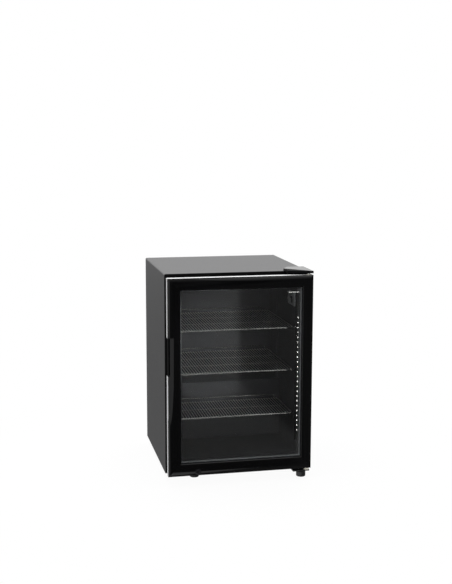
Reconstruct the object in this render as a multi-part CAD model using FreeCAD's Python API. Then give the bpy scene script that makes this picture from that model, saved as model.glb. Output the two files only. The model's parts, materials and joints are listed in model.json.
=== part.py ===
"""Counter-top glass-door freezer, modelled as it comes apart on a bench.

Millimetres, +Z up, the door faces -Y. The origin is on the floor, under the middle of the whole object.
"""
import FreeCAD
import Part
import math
import os

Vec = FreeCAD.Vector
os.makedirs("parts", exist_ok=True)

# Cabinet body
cabinet_width = 430.0
cabinet_depth = 392.0
cabinet_height = 595.0
ground_clearance = 25.0
shell_sheet = 1.0
shell_corner_radius = 4.0
pan_sheet = 1.5
pan_lip_height = 28.0
front_frame_sheet = 2.0

# Insulated walls, from the outer face to the inner face
side_wall = 29.0
mouth_side_wall = 21.0
mouth_depth = 20.0
roof_wall = 42.0
floor_wall = 42.0
rear_wall = 56.0
liner_wall = 1.6

# Machine bay at the lower rear
bay_depth = 153.0
bay_height = 184.0
bay_wall = 38.0

# Door frame and glazing
door_depth = 48.0
face_depth = 22.0
rear_setback = 6.0
edge_trim = 1.0
seal_depth = 10.0
door_bottom_gap = 6.5
door_top_gap = 6.0
left_stile_width = 37.5
right_stile_width = 31.0
top_rail_width = 34.8
bottom_rail_width = 36.9
bevel_width = 14.0
bevel_depth = 3.5
lip_depth = 6.0
lip_chamfer = 1.0
glass_seat = 6.0
glass_edge_gap = 1.0
pane_thickness = 4.0
spacer_depth = 10.0
spacer_width = 8.0
bead_clearance = 0.2

# Magnetic seal
gasket_width = 8.0
gasket_base = 2.0
gasket_neck = 5.0
gasket_head = 4.0
gasket_side_margin = 9.0
gasket_top_margin = 8.0
gasket_bottom_margin = 19.3
gasket_clearance = 0.7
dart_width = 3.0
dart_depth = 5.0
dart_clearance = 0.1
magnet_width = 5.0
magnet_depth = 2.4
magnet_clearance = 0.1

# Finger grip in the left stile
grip_height = 299.0
grip_length = 112.0
grip_reach = 16.0
grip_lip = 5.5
grip_depth = 21.5
grip_notch = 7.0
facet_width = 17.5
facet_fall = 6.0
facet_length = 298.0
facet_straight = 92.0
facet_end_width = 4.0

# Hinges
hinge_side_offset = 11.0
hinge_front_offset = 13.0
pin_radius = 4.0
pin_reach = 18.0
pin_shoulder = 1.5
running_clearance = 0.05
bush_radius = 6.5
bush_length = 20.0
bush_flange_radius = 8.0
bush_flange = 1.0
hinge_plate = 2.5
hinge_plate_width = 54.0
hinge_plate_rear = 33.0
hinge_arm_width = 15.0
lower_plate = 3.5
lower_plate_width = 50.0
lower_plate_rear = 40.0
lower_plate_front = 6.0
washer_clearance = 0.3
cover_length = 71.5
cover_rear = 49.0
cover_height = 5.5
cover_front_slant = 23.5
cover_corner_width = 20.0
cover_corner_length = 35.0
cover_overhang_drop = 1.5
cover_wall = 1.2
cover_edge_margin = 0.5
screw_radius = 2.0
screw_length = 14.0
screw_head_radius = 4.0
screw_head = 1.5
hole_clearance = 0.1

# Lock in the bottom rail
lock_offset = 87.5
lock_height = 11.0
lock_radius = 9.0
plug_radius = 6.0
plug_recess = 0.5
keyway_width = 1.6
keyway_height = 7.0
keyway_depth = 9.0
spindle_radius = 4.0
cam_tip_gap = 1.5
cam_width = 9.0
cam_sheet = 2.5
cam_gap = 0.5
keeper_sheet = 2.0
keeper_width = 20.0
keeper_reach = 32.0
keeper_clearance = 1.0
keeper_rise = 7.5

# Shelves
lower_shelf_height = 120.5
middle_shelf_height = 254.5
upper_shelf_height = 383.5
shelf_side_gap = 6.0
shelf_setback = 1.5
shelf_rear_gap = 18.0
lower_shelf_rear_gap = 5.0
shelf_wire_radius = 1.25
shelf_wire_pitch = 8.2
shelf_bar_radius = 2.0
shelf_frame_radius = 2.5
shelf_corner_radius = 12.0
shelf_bar_pitch = 100.0
shelf_stop_height = 10.0
weld_sink = 0.4
runner_width = 12.0
runner_height = 6.0
runner_gap = 0.3

# Lamp and controls on the right-hand wall
lamp_width = 14.0
lamp_base = 4.0
lamp_flange = 7.0
lamp_shade = 12.0
lamp_flange_sheet = 1.2
lamp_setback = 3.0
lamp_bottom = 33.0
lamp_top_gap = 23.0
led_count = 24
led_pitch = 15.0
led_size = 3.0
led_thickness = 0.9
led_first_height = 65.5
board_thickness = 1.0
lamp_bracket_reach = 38.0
lamp_bracket_sheet = 1.5
lamp_bracket_height = 10.0
bracket_lamp_count = 3
bracket_lamp_length = 9.0
control_length = 62.0
control_height = 38.0
control_thickness = 10.0
control_top_gap = 30.0
control_setback = 2.0
control_radius = 3.0
knob_radius = 9.5
knob_thickness = 3.5
knob_gap = 0.3
knob_inset = 21.0
knob_shaft_radius = 3.0
knob_shaft_length = 6.0
rocker_width = 12.0
rocker_length = 19.0
rocker_thickness = 5.0
rocker_proud = 1.4
rocker_tilt = 8.0
rocker_gap = 1.2
rocker_pin_radius = 1.5
rocker_pin_reach = 2.0
rocker_inset = 17.0
conduit_width = 6.0
conduit_thickness = 3.5
conduit_setback = 214.0

# Cooling circuit
compressor_radius = 62.0
compressor_height = 130.0
compressor_dome = 24.0
compressor_flange = 3.0
compressor_side_gap = 165.0
can_wall = 3.0
pump_radius = 36.0
pump_height = 100.0
compressor_rear_gap = 16.0
mount_plate = 3.0
mount_plate_length = 176.0
mount_plate_width = 116.0
grommet_height = 12.0
grommet_radius = 9.0
grommet_inset = 12.0
bolt_radius = 3.0
bolt_head_radius = 5.5
bolt_head = 3.0
nut_height = 5.0
relay_width = 50.0
relay_height = 55.0
relay_reach = 32.0
relay_bottom = 44.0
relay_gap = 0.3
tray_wall = 1.5
tray_height = 20.0
tray_length = 140.0
tray_width = 130.0
tray_gap = 0.3
drain_radius = 7.0
drain_bore = 5.0
drain_drop = 10.0
drain_side = 50.0
drain_rear_gap = 49.0
tube_radius = 2.5
condenser_reach = 20.0
condenser_tube_inset = 7.0
condenser_side_gap = 55.0
condenser_run_pitch = 40.0
condenser_runs = 9
condenser_bottom = 48.0
condenser_joint_drop = 24.0
condenser_tail_gap = 35.0
condenser_wire_radius = 0.8
condenser_wire_pitch = 14.0
condenser_wire_overrun = 15.0
condenser_left_tail = 125.0
condenser_right_tail = 115.0
tail_inset = 25.0
tail_bend = 12.0
standoff_width = 10.0
standoff_height = 14.0
standoff_clearance = 0.2
drier_radius = 9.0
drier_length = 62.0
drier_taper = 8.0
capillary_radius = 1.2
capillary_run = 28.0
suction_radius = 3.5
suction_side = 110.0
suction_front_gap = 32.0
suction_height = 33.0
pipe_bend = 12.0
pipe_gap = 0.05
coil_radius = 4.0
coil_side_gap = 56.0
coil_pitch = 40.0
coil_runs = 7
coil_bend = 18.0
coil_rise = 45.0
coil_gap = 0.1
coil_pocket_margin = 6.0
gland_radius = 9.0
gland_bore = 4.2
gland_length = 14.0
gland_flange = 2.5
gland_flange_radius = 12.0
gland_offset = 65.0

# Feet
foot_radius = 14.0
foot_pad_height = 18.0
foot_rounding = 3.0
stud_radius = 4.0
stud_reach = 8.0
left_foot_offset = 92.0
left_foot_setback = 30.0
right_foot_offset = 23.0
right_foot_front = 28.5
rear_foot_offset = 45.0
rear_foot_setback = 35.0

# Places that follow from the sizes above
half_width = cabinet_width / 2
total_depth = door_depth + seal_depth + cabinet_depth + condenser_reach
door_front_y = -total_depth / 2
door_rear_y = door_front_y + door_depth
face_rear_y = door_front_y + face_depth
front_y = door_rear_y + seal_depth
back_y = front_y + cabinet_depth
base_z = ground_clearance
top_z = base_z + cabinet_height
pan_top_z = base_z + pan_sheet
room_x = half_width - side_wall
mouth_x = half_width - mouth_side_wall
mouth_rear_y = front_y + mouth_depth
room_rear_y = back_y - rear_wall
room_floor_z = base_z + floor_wall
room_roof_z = top_z - roof_wall
bay_front_y = back_y - bay_depth
bay_top_z = base_z + bay_height
step_front_y = bay_front_y - bay_wall
step_top_z = bay_top_z + bay_wall
inner_half_width = half_width - shell_sheet

door_bottom_z = base_z + door_bottom_gap
door_top_z = top_z - door_top_gap
glass_left = -half_width + left_stile_width
glass_right = half_width - right_stile_width
glass_bottom = door_bottom_z + bottom_rail_width
glass_top = door_top_z - top_rail_width
glass_y = door_front_y + lip_depth
pane_gap_y = glass_y + pane_thickness
inner_pane_y = pane_gap_y + spacer_depth
bead_y = inner_pane_y + pane_thickness

hinge_x = half_width - hinge_side_offset
hinge_y = door_front_y + hinge_front_offset
lock_x = -half_width + lock_offset
lock_z = door_bottom_z + lock_height

compressor_x = -half_width + compressor_side_gap
compressor_y = back_y - compressor_rear_gap - compressor_radius
plate_z = pan_top_z + grommet_height
can_bottom_z = plate_z + mount_plate
can_top_z = can_bottom_z + compressor_height
condenser_y = back_y + condenser_reach - condenser_tube_inset
condenser_half_run = half_width - condenser_side_gap
condenser_tail_x = half_width - condenser_tail_gap
condenser_wires = int(2 * condenser_half_run // condenser_wire_pitch) + 1
coil_half_run = room_x - coil_side_gap
drain_x = compressor_x - drain_side
suction_x = compressor_x + suction_side
gland_x = half_width - gland_offset


def box(x0, x1, y0, y1, z0, z1):
    """A block between two corners."""
    return Part.makeBox(x1 - x0, y1 - y0, z1 - z0, Vec(x0, y0, z0))


def rod(radius, start, end):
    """A round bar from one point to another."""
    start = Vec(*start)
    run = Vec(*end) - start
    return Part.makeCylinder(radius, run.Length, start, run)


def prism(points, run):
    """A closed polygon of points, swept along one straight run."""
    corners = [Vec(*point) for point in points]
    face = Part.Face(Part.makePolygon(corners + corners[:1]))
    return face.extrude(Vec(*run))


def turned(profile, centre):
    """A solid of revolution about a vertical axis through centre, from (radius, height) points."""
    corners = [Vec(radius, 0, height) for radius, height in profile]
    face = Part.Face(Part.makePolygon(corners + corners[:1]))
    solid = face.revolve(Vec(0, 0, 0), Vec(0, 0, 1), 360)
    solid.translate(Vec(*centre))
    return solid


def bent_tube(points, bend_radius, radius):
    """A round tube along straight runs joined by tangent arcs of one bend radius."""
    points = [Vec(*point) for point in points]
    edges = []
    start = points[0]
    for before, corner, after in zip(points, points[1:], points[2:]):
        back = (before - corner).normalize()
        ahead = (after - corner).normalize()
        half_turn = back.getAngle(ahead) / 2
        tangent = bend_radius / math.tan(half_turn)
        middle = corner + (back + ahead).normalize() * (bend_radius / math.sin(half_turn) - bend_radius)
        edges.append(Part.makeLine(start, corner + back * tangent))
        edges.append(Part.Arc(corner + back * tangent, middle, corner + ahead * tangent).toShape())
        start = corner + ahead * tangent
    edges.append(Part.makeLine(start, points[-1]))
    section = Part.Wire([Part.makeCircle(radius, points[0], points[1] - points[0])])
    return Part.Wire(edges).makePipeShell([section], True, False)


def ring(outer, inner, y0, y1):
    """A flat frame between two rectangles (left, right, bottom, top), from y0 to y1."""
    left, right, bottom, top = outer
    hole_left, hole_right, hole_bottom, hole_top = inner
    frame = box(left, right, y0, y1, bottom, top)
    return frame.cut(box(hole_left, hole_right, y0, y1, hole_bottom, hole_top))


def grown(rectangle, margin):
    """A rectangle (left, right, bottom, top) with a margin added on every side."""
    left, right, bottom, top = rectangle
    return left - margin, right + margin, bottom - margin, top + margin


def cabinet_block(inset, y0, y1):
    """The cabinet's outer form with its rounded top edges, inset by one distance, from y0 to y1."""
    side = half_width - inset
    top = top_z - inset
    radius = shell_corner_radius - inset
    slant = radius * (1 - math.sqrt(0.5))
    edges = [
        Part.makeLine(Vec(-side, y0, base_z), Vec(-side, y0, top - radius)),
        Part.Arc(Vec(-side, y0, top - radius), Vec(-side + slant, y0, top - slant),
                 Vec(-side + radius, y0, top)).toShape(),
        Part.makeLine(Vec(-side + radius, y0, top), Vec(side - radius, y0, top)),
        Part.Arc(Vec(side - radius, y0, top), Vec(side - slant, y0, top - slant),
                 Vec(side, y0, top - radius)).toShape(),
        Part.makeLine(Vec(side, y0, top - radius), Vec(side, y0, base_z)),
        Part.makeLine(Vec(side, y0, base_z), Vec(-side, y0, base_z)),
    ]
    return Part.Face(Part.Wire(edges)).extrude(Vec(0, y1 - y0, 0))


def room(wall):
    """The cold room with its step over the machine bay and its wider mouth, grown outwards by a wall."""
    upper = box(-room_x - wall, room_x + wall, front_y, room_rear_y + wall, step_top_z - wall,
                room_roof_z + wall)
    lower = box(-room_x - wall, room_x + wall, front_y, step_front_y + wall, room_floor_z - wall,
                step_top_z)
    mouth = box(-mouth_x - wall, mouth_x + wall, front_y, mouth_rear_y + wall,
                room_floor_z - wall, room_roof_z + wall)
    return upper.multiFuse([lower, mouth]).removeSplitter()


def screw(place, direction):
    """A pan-head screw: the place is under its head, the direction is the way it is driven."""
    place = Vec(*place)
    direction = Vec(*direction)
    head = Part.makeCylinder(screw_head_radius, screw_head, place - direction * screw_head, direction)
    shank = Part.makeCylinder(screw_radius, screw_length, place, direction)
    return head.fuse(shank).removeSplitter()


def screw_hole(place, direction):
    """The clearance hole that a screw passes through."""
    return Part.makeCylinder(screw_radius + hole_clearance, screw_length + hole_clearance, Vec(*place),
                             Vec(*direction))


# Screw places, shared by the screws and the holes they go through
upper_hinge_z = top_z + hinge_plate
upper_plate_left = half_width - hinge_plate_width - cover_wall - 2 * cover_edge_margin
upper_plate_right = half_width - cover_wall - 2 * cover_edge_margin
upper_plate_rear_y = front_y + hinge_plate_rear
upper_screw_y = upper_plate_rear_y - 2 * screw_head_radius
upper_screw_step = (hinge_plate_width - 4 * screw_head_radius) / 2
upper_screw_x = upper_plate_left + 2 * screw_head_radius
upper_screws = [(upper_screw_x + step * upper_screw_step, upper_screw_y, upper_hinge_z) for step in range(3)]
lower_plate_right = half_width - hinge_side_offset + 2 * pin_radius
lower_plate_left = lower_plate_right - lower_plate_width
lower_plate_rear_y = front_y + lower_plate_rear
lower_screw_z = base_z - lower_plate
lower_screw_margin = 2 * screw_head_radius
lower_screws = [(x, lower_plate_rear_y - lower_screw_margin, lower_screw_z)
                for x in (lower_plate_left + lower_screw_margin, lower_plate_right - lower_screw_margin)]
keeper_rear_y = door_rear_y + keeper_clearance + keeper_reach
keeper_bottom_z = base_z - keeper_sheet
keeper_screws = [(lock_x + side * (keeper_width / 2 - 1.2 * screw_head_radius),
                  keeper_rear_y - 1.5 * screw_head_radius, keeper_bottom_z) for side in (-1, 1)]
back_screw_margin = 12.0
back_screw_x = inner_half_width - back_screw_margin
back_screws = [(x, back_y, z) for x in (-back_screw_x, back_screw_x)
               for z in (bay_top_z + back_screw_margin, (bay_top_z + top_z) / 2, top_z - back_screw_margin)]
screw_holes = Part.makeCompound(
    [screw_hole(place, (0, 0, -1)) for place in upper_screws]
    + [screw_hole(place, (0, 0, 1)) for place in lower_screws + keeper_screws]
    + [screw_hole(place, (0, -1, 0)) for place in back_screws])

# Places of the feet, the studs of which go up through the base
left_foot = (-half_width + left_foot_offset, front_y + left_foot_setback)
right_foot = (half_width - right_foot_offset, door_front_y + right_foot_front)
rear_feet = [(side * (half_width - rear_foot_offset), back_y - rear_foot_setback) for side in (-1, 1)]
stud_top_z = pan_top_z + stud_reach


def stud_hole(place):
    """The hole that a foot's stud turns in."""
    return rod(stud_radius + running_clearance, (*place, 0), (*place, stud_top_z + hole_clearance))


# Compressor feet, shared by the plate, grommets, bolts and base
mount_places = [(compressor_x + side * (mount_plate_length / 2 - grommet_inset),
                 compressor_y + end * (mount_plate_width / 2 - grommet_inset))
                for side in (-1, 1) for end in (-1, 1)]


def bolt_hole(place, z0, z1):
    """A clearance hole for a compressor bolt."""
    return rod(bolt_radius + hole_clearance, (*place, z0), (*place, z1))


drain_y = room_rear_y - drain_rear_gap
drain_hole = rod(drain_radius + hole_clearance, (drain_x, drain_y, bay_top_z - shell_sheet),
                 (drain_x, drain_y, step_top_z - liner_wall))
coil_y = room_rear_y + liner_wall + coil_gap + coil_radius
coil_bottom_z = step_top_z + coil_rise
coil_top_z = coil_bottom_z + (coil_runs - 1) * coil_pitch
coil_pocket = box(-coil_half_run - coil_pocket_margin, coil_half_run + coil_pocket_margin,
                  room_rear_y + liner_wall, coil_y + coil_radius + coil_gap,
                  coil_bottom_z - coil_pocket_margin, coil_top_z + coil_pocket_margin)


def outer_shell():
    """One painted sheet bent over both sides and the top."""
    shell = cabinet_block(0, front_y, back_y).cut(cabinet_block(shell_sheet, front_y, back_y))
    return [shell.cut(screw_holes)]


def back_panel():
    """The sheet that closes the back above the machine bay."""
    panel = cabinet_block(shell_sheet, back_y - shell_sheet, back_y)
    below = box(-half_width, half_width, back_y - shell_sheet, back_y, base_z, bay_top_z)
    return [panel.cut(below).cut(screw_holes)]


def base_pan():
    """The floor sheet and the strip welded along its rear edge, drilled for feet, compressor and cord."""
    floor = box(-inner_half_width, inner_half_width, front_y, back_y, base_z, pan_top_z)
    lip = box(-inner_half_width, inner_half_width, back_y - pan_sheet, back_y, pan_top_z,
              base_z + pan_lip_height)
    holes = [stud_hole(place) for place in [left_foot] + rear_feet]
    holes += [bolt_hole(place, base_z, pan_top_z) for place in mount_places]
    gland = rod(gland_radius + hole_clearance, (gland_x, back_y - pan_sheet, gland_z),
                (gland_x, back_y, gland_z))
    return [floor.cut(Part.makeCompound(holes)).cut(screw_holes), lip.cut(gland)]


def front_frame():
    """The flat frame round the mouth, which the magnetic seal closes on."""
    plate = cabinet_block(shell_sheet, front_y, front_y + front_frame_sheet)
    below = box(-half_width, half_width, front_y, front_y + front_frame_sheet, base_z, pan_top_z)
    return [plate.cut(below).cut(room(liner_wall)).cut(screw_holes)]


def inner_liner():
    """The thin moulded lining of the cold room, open at the front, with its drain hole."""
    drain = rod(drain_bore, (drain_x, drain_y, step_top_z - liner_wall), (drain_x, drain_y, step_top_z))
    return [room(liner_wall).cut(room(0)).cut(drain)]


def insulation():
    """The foam between the shell and the liner, as slabs that meet face to face."""
    side = room_x + liner_wall
    mouth = mouth_x + liner_wall
    front = front_y + front_frame_sheet
    mouth_rear = mouth_rear_y + liner_wall
    rear = room_rear_y + liner_wall
    back = back_y - shell_sheet
    roof = room_roof_z + liner_wall
    floor = room_floor_z - liner_wall
    step_front = step_front_y + liner_wall
    step_top = step_top_z - liner_wall
    walls = []
    outer = inner_half_width
    sides = ((-outer, -side, -outer, -mouth), (side, outer, mouth, outer))
    for left, right, mouth_left, mouth_right in sides:
        walls.append(box(mouth_left, mouth_right, front, mouth_rear, pan_top_z, top_z))
        walls.append(box(left, right, mouth_rear, bay_front_y, pan_top_z, bay_top_z))
        walls.append(box(left, right, mouth_rear, back, bay_top_z, top_z))
    slabs = [
        box(-mouth, mouth, front, mouth_rear, roof, top_z),
        box(-side, side, mouth_rear, back, roof, top_z),
        box(-mouth, mouth, front, mouth_rear, pan_top_z, floor),
        box(-side, side, mouth_rear, step_front, pan_top_z, floor),
        box(-side, side, step_front, bay_front_y, pan_top_z, step_top),
        box(-side, side, bay_front_y, rear, bay_top_z, step_top),
        box(-side, side, rear, back, bay_top_z, roof).cut(coil_pocket),
    ]
    inside = cabinet_block(shell_sheet, front_y, back_y)
    holes = screw_holes.fuse([drain_hole, stud_hole(left_foot)])
    return [slab.common(inside).cut(holes) for slab in walls + slabs]


def bay_cover():
    """The bent sheet that lines the roof and the front of the machine bay."""
    bay = box(-inner_half_width, inner_half_width, bay_front_y, back_y - shell_sheet, pan_top_z, bay_top_z)
    space = box(-inner_half_width, inner_half_width, bay_front_y + shell_sheet, back_y, pan_top_z,
                bay_top_z - shell_sheet)
    pipes = [rod(suction_radius + hole_clearance, (suction_x, suction_y, bay_top_z - shell_sheet),
                 (suction_x, suction_y, bay_top_z)),
             rod(capillary_radius + hole_clearance, (condenser_tail_x, capillary_y, bay_top_z - shell_sheet),
                 (condenser_tail_x, capillary_y, bay_top_z))]
    return [bay.cut(space).cut(drain_hole).cut(Part.makeCompound(pipes))]


# Shelves and what carries them
shelf_half_width = room_x - shelf_side_gap
shelf_front_y = mouth_rear_y - shelf_setback
shelf_rears = {"lower": step_front_y - lower_shelf_rear_gap, "middle": room_rear_y - shelf_rear_gap,
               "upper": room_rear_y - shelf_rear_gap}
shelf_tops = {"lower": room_floor_z + lower_shelf_height, "middle": room_floor_z + middle_shelf_height,
              "upper": room_floor_z + upper_shelf_height}
shelf_frame_drop = 2 * shelf_wire_radius + shelf_frame_radius - weld_sink
shelf_bar_drop = 2 * shelf_wire_radius + shelf_bar_radius - weld_sink
conduit_y = front_y + mouth_depth + conduit_setback


def shelf_frame(top_z_here, rear_y):
    """The bent outer wire of a shelf: four straight runs and four corner bends in one closed loop."""
    z = top_z_here - shelf_frame_drop
    x = shelf_half_width - shelf_frame_radius
    front = shelf_front_y + shelf_frame_radius
    rear = rear_y - shelf_frame_radius
    r = shelf_corner_radius
    slant = r * (1 - math.sqrt(0.5))
    edges = [
        Part.makeLine(Vec(0, front, z), Vec(x - r, front, z)),
        Part.Arc(Vec(x - r, front, z), Vec(x - slant, front + slant, z), Vec(x, front + r, z)).toShape(),
        Part.makeLine(Vec(x, front + r, z), Vec(x, rear - r, z)),
        Part.Arc(Vec(x, rear - r, z), Vec(x - slant, rear - slant, z), Vec(x - r, rear, z)).toShape(),
        Part.makeLine(Vec(x - r, rear, z), Vec(r - x, rear, z)),
        Part.Arc(Vec(r - x, rear, z), Vec(slant - x, rear - slant, z), Vec(-x, rear - r, z)).toShape(),
        Part.makeLine(Vec(-x, rear - r, z), Vec(-x, front + r, z)),
        Part.Arc(Vec(-x, front + r, z), Vec(slant - x, front + slant, z), Vec(r - x, front, z)).toShape(),
        Part.makeLine(Vec(r - x, front, z), Vec(0, front, z)),
    ]
    section = Part.Wire([Part.makeCircle(shelf_frame_radius, Vec(0, front, z), Vec(1, 0, 0))])
    return Part.Wire(edges).makePipeShell([section], True, False)


def wire_shelf(top_z_here, rear_y):
    """A welded wire shelf, with a raised stop bar along its rear edge."""
    frame_x = shelf_half_width - shelf_frame_radius
    wire_span = 2 * (frame_x - shelf_frame_radius - shelf_wire_radius)
    wire_count = int(wire_span // shelf_wire_pitch) + 1
    first_x = -(wire_count - 1) * shelf_wire_pitch / 2
    front = shelf_front_y + shelf_frame_radius
    rear = rear_y - shelf_frame_radius
    wire_z = top_z_here - shelf_wire_radius
    wires = [rod(shelf_wire_radius, (first_x + step * shelf_wire_pitch, front, wire_z),
                 (first_x + step * shelf_wire_pitch, rear, wire_z)) for step in range(wire_count)]
    bar_count = max(1, round((rear - front) / shelf_bar_pitch) - 1)
    bar_step = (rear - front) / (bar_count + 1)
    bar_z = top_z_here - shelf_bar_drop
    bars = [rod(shelf_bar_radius, (-frame_x, front + step * bar_step, bar_z),
                (frame_x, front + step * bar_step, bar_z)) for step in range(1, bar_count + 1)]
    grid = shelf_frame(top_z_here, rear_y).multiFuse(bars + wires)
    stop_x = frame_x - shelf_corner_radius
    stop_foot_z = top_z_here - shelf_frame_drop + shelf_frame_radius
    stop_z = top_z_here + shelf_stop_height
    stop = bent_tube([(-stop_x, rear, stop_foot_z), (-stop_x, rear, stop_z), (stop_x, rear, stop_z),
                      (stop_x, rear, stop_foot_z)], 2 * shelf_bar_radius, shelf_bar_radius)
    return [grid, stop]


def shelf_runners():
    """The moulded strips on both walls that the shelves lie and slide on."""
    strips = []
    for level, shelf_top in shelf_tops.items():
        runner_top = shelf_top - shelf_frame_drop - shelf_frame_radius - runner_gap
        for left, right in ((-room_x, -room_x + runner_width), (room_x - runner_width, room_x)):
            strip = box(left, right, mouth_rear_y + runner_height, shelf_rears[level],
                        runner_top - runner_height, runner_top)
            strips.append(strip.cut(conduit_block(hole_clearance)))
    return [solid for strip in strips for solid in strip.Solids]


def conduit_block(margin):
    """The space of the sensor conduit, with a margin."""
    return box(room_x - conduit_thickness - margin, room_x, conduit_y - conduit_width / 2 - margin,
               conduit_y + conduit_width / 2 + margin, step_top_z, control_bottom_z)


# Controls on the right-hand wall
control_top_z = room_roof_z - control_top_gap
control_bottom_z = control_top_z - control_height
control_front_y = mouth_rear_y + control_setback
control_rear_y = control_front_y + control_length
control_face_x = room_x - control_thickness
control_mid_z = (control_top_z + control_bottom_z) / 2
knob_y = control_rear_y - knob_inset
rocker_y = control_front_y + rocker_inset
rocker_axis_x = control_face_x + rocker_thickness - rocker_proud


def sensor_conduit():
    """The slim cover strip over the thermostat's sensor tube."""
    return [conduit_block(0)]


def control_housing():
    """The moulded box of the thermostat and the lamp switch, with the switch's well and the shaft's hole."""
    block = box(control_face_x, room_x, control_front_y, control_rear_y, control_bottom_z, control_top_z)
    front_edges = [edge for edge in block.Edges
                   if edge.BoundBox.XMax < control_face_x + hole_clearance]
    block = block.makeFillet(control_radius, front_edges)
    well_depth = rocker_thickness + rocker_proud + rocker_gap
    well = box(control_face_x, control_face_x + well_depth, rocker_y - rocker_width / 2 - rocker_gap,
               rocker_y + rocker_width / 2 + rocker_gap, control_mid_z - rocker_length / 2 - rocker_gap,
               control_mid_z + rocker_length / 2 + rocker_gap)
    pin = rod(rocker_pin_radius + running_clearance,
              (rocker_axis_x, rocker_y - rocker_width / 2 - rocker_gap - rocker_pin_reach, control_mid_z),
              (rocker_axis_x, rocker_y + rocker_width / 2 + rocker_gap + rocker_pin_reach, control_mid_z))
    shaft = rod(knob_shaft_radius + running_clearance, (control_face_x, knob_y, control_mid_z),
                (control_face_x + knob_shaft_length + hole_clearance, knob_y, control_mid_z))
    return [block.cut(Part.makeCompound([well, pin, shaft]))]


def thermostat_knob():
    """The fluted dial with its raised pointer rib, on a short shaft."""
    rear_x = control_face_x - knob_gap
    front_x = rear_x - knob_thickness
    knob = rod(knob_radius, (front_x, knob_y, control_mid_z), (rear_x, knob_y, control_mid_z))
    flute_count = 18
    flute_radius = 1.1
    flutes = []
    for step in range(flute_count):
        angle = 2 * math.pi * step / flute_count
        y = knob_y + knob_radius * math.cos(angle)
        z = control_mid_z + knob_radius * math.sin(angle)
        flutes.append(rod(flute_radius, (front_x, y, z), (rear_x - knob_thickness / 3, y, z)))
    rib_width = 4.0
    rib_height = 1.0
    rib = box(front_x - rib_height, front_x, knob_y - rib_width / 2, knob_y + rib_width / 2, control_mid_z,
              control_mid_z + knob_radius - 2 * flute_radius)
    shaft = rod(knob_shaft_radius, (rear_x, knob_y, control_mid_z),
                (control_face_x + knob_shaft_length, knob_y, control_mid_z))
    return [knob.cut(Part.makeCompound(flutes)).multiFuse([rib, shaft]).removeSplitter()]


def light_rocker():
    """The lamp's rocker, resting on one side, with its pivot pin."""
    half = rocker_length / 2
    fall = half * math.tan(math.radians(rocker_tilt))
    y0 = rocker_y - rocker_width / 2
    face_x = control_face_x - rocker_proud
    body = prism([(face_x, y0, control_mid_z), (face_x - fall, y0, control_mid_z + half),
                  (face_x + rocker_thickness, y0, control_mid_z + half),
                  (face_x + rocker_thickness, y0, control_mid_z - half),
                  (face_x - fall, y0, control_mid_z - half)], (0, rocker_width, 0))
    pin = rod(rocker_pin_radius, (rocker_axis_x, y0 - rocker_gap - rocker_pin_reach, control_mid_z),
              (rocker_axis_x, y0 + rocker_width + rocker_gap + rocker_pin_reach, control_mid_z))
    rocker = body.fuse(pin).removeSplitter()
    rocker.rotate(Vec(rocker_axis_x, rocker_y, control_mid_z), Vec(0, 1, 0), -rocker_tilt)
    return [rocker]


# Lamp in the right-hand side of the mouth
lamp_front_y = front_y + lamp_setback
lamp_rear_y = lamp_front_y + lamp_width
lamp_mid_y = (lamp_front_y + lamp_rear_y) / 2
lamp_bottom_z = room_floor_z + lamp_bottom
lamp_top_z = room_roof_z - lamp_top_gap
board_x = mouth_x - lamp_base


def led_channel():
    """The aluminium channel that carries the lamp strip, with a wide rear flange that shades the controls."""
    bar = box(mouth_x - lamp_flange, mouth_x, lamp_front_y, lamp_rear_y, lamp_bottom_z, lamp_top_z)
    groove = box(mouth_x - lamp_flange, board_x, lamp_front_y + lamp_flange_sheet,
                 lamp_rear_y - lamp_flange_sheet, lamp_bottom_z, lamp_top_z)
    shade = box(mouth_x - lamp_shade, mouth_x, lamp_rear_y - lamp_flange_sheet, lamp_rear_y, lamp_bottom_z,
                lamp_top_z)
    return [bar.cut(groove).fuse(shade).removeSplitter()]


def led_board():
    """The narrow circuit board in the channel."""
    inset = lamp_flange_sheet + hole_clearance
    return [box(board_x - board_thickness, board_x, lamp_front_y + inset, lamp_rear_y - inset,
                lamp_bottom_z + led_size, lamp_top_z - led_size)]


def led_chips():
    """The row of lamp chips up the channel, and the short lamps along the bracket's front edge."""
    first_z = room_floor_z + led_first_height
    face_x = board_x - board_thickness
    column = [box(face_x - led_thickness, face_x, lamp_mid_y - led_size / 2, lamp_mid_y + led_size / 2,
                  first_z + step * led_pitch - led_size / 2, first_z + step * led_pitch + led_size / 2)
              for step in range(led_count)]
    pitch = lamp_bracket_reach / bracket_lamp_count
    first_x = mouth_x - pitch / 2 + bracket_lamp_length / 2
    row = [box(first_x - step * pitch - bracket_lamp_length, first_x - step * pitch,
               lamp_front_y - led_thickness, lamp_front_y, lamp_top_z, lamp_top_z + lamp_bracket_sheet)
           for step in range(bracket_lamp_count)]
    return column + row


def lamp_bracket():
    """The bent strip over the channel's top end, which carries the lamp's lead across to the controls."""
    arm = box(mouth_x - lamp_bracket_reach, mouth_x, lamp_front_y, lamp_rear_y, lamp_top_z,
              lamp_top_z + lamp_bracket_sheet)
    leg = box(mouth_x - lamp_bracket_sheet, mouth_x, lamp_front_y, lamp_rear_y, lamp_top_z,
              lamp_top_z + lamp_bracket_height)
    return [arm.fuse(leg).removeSplitter()]


# Cooling circuit
relay_z = pan_top_z + relay_bottom
suction_y = bay_front_y + suction_front_gap
tail_y = condenser_y - tail_inset - tail_bend
capillary_y = tail_y - drier_length - capillary_run
left_tail_z = base_z + condenser_left_tail
right_tail_z = base_z + condenser_right_tail
gland_z = base_z + pan_lip_height / 2
first_run_z = bay_top_z + condenser_bottom


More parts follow.
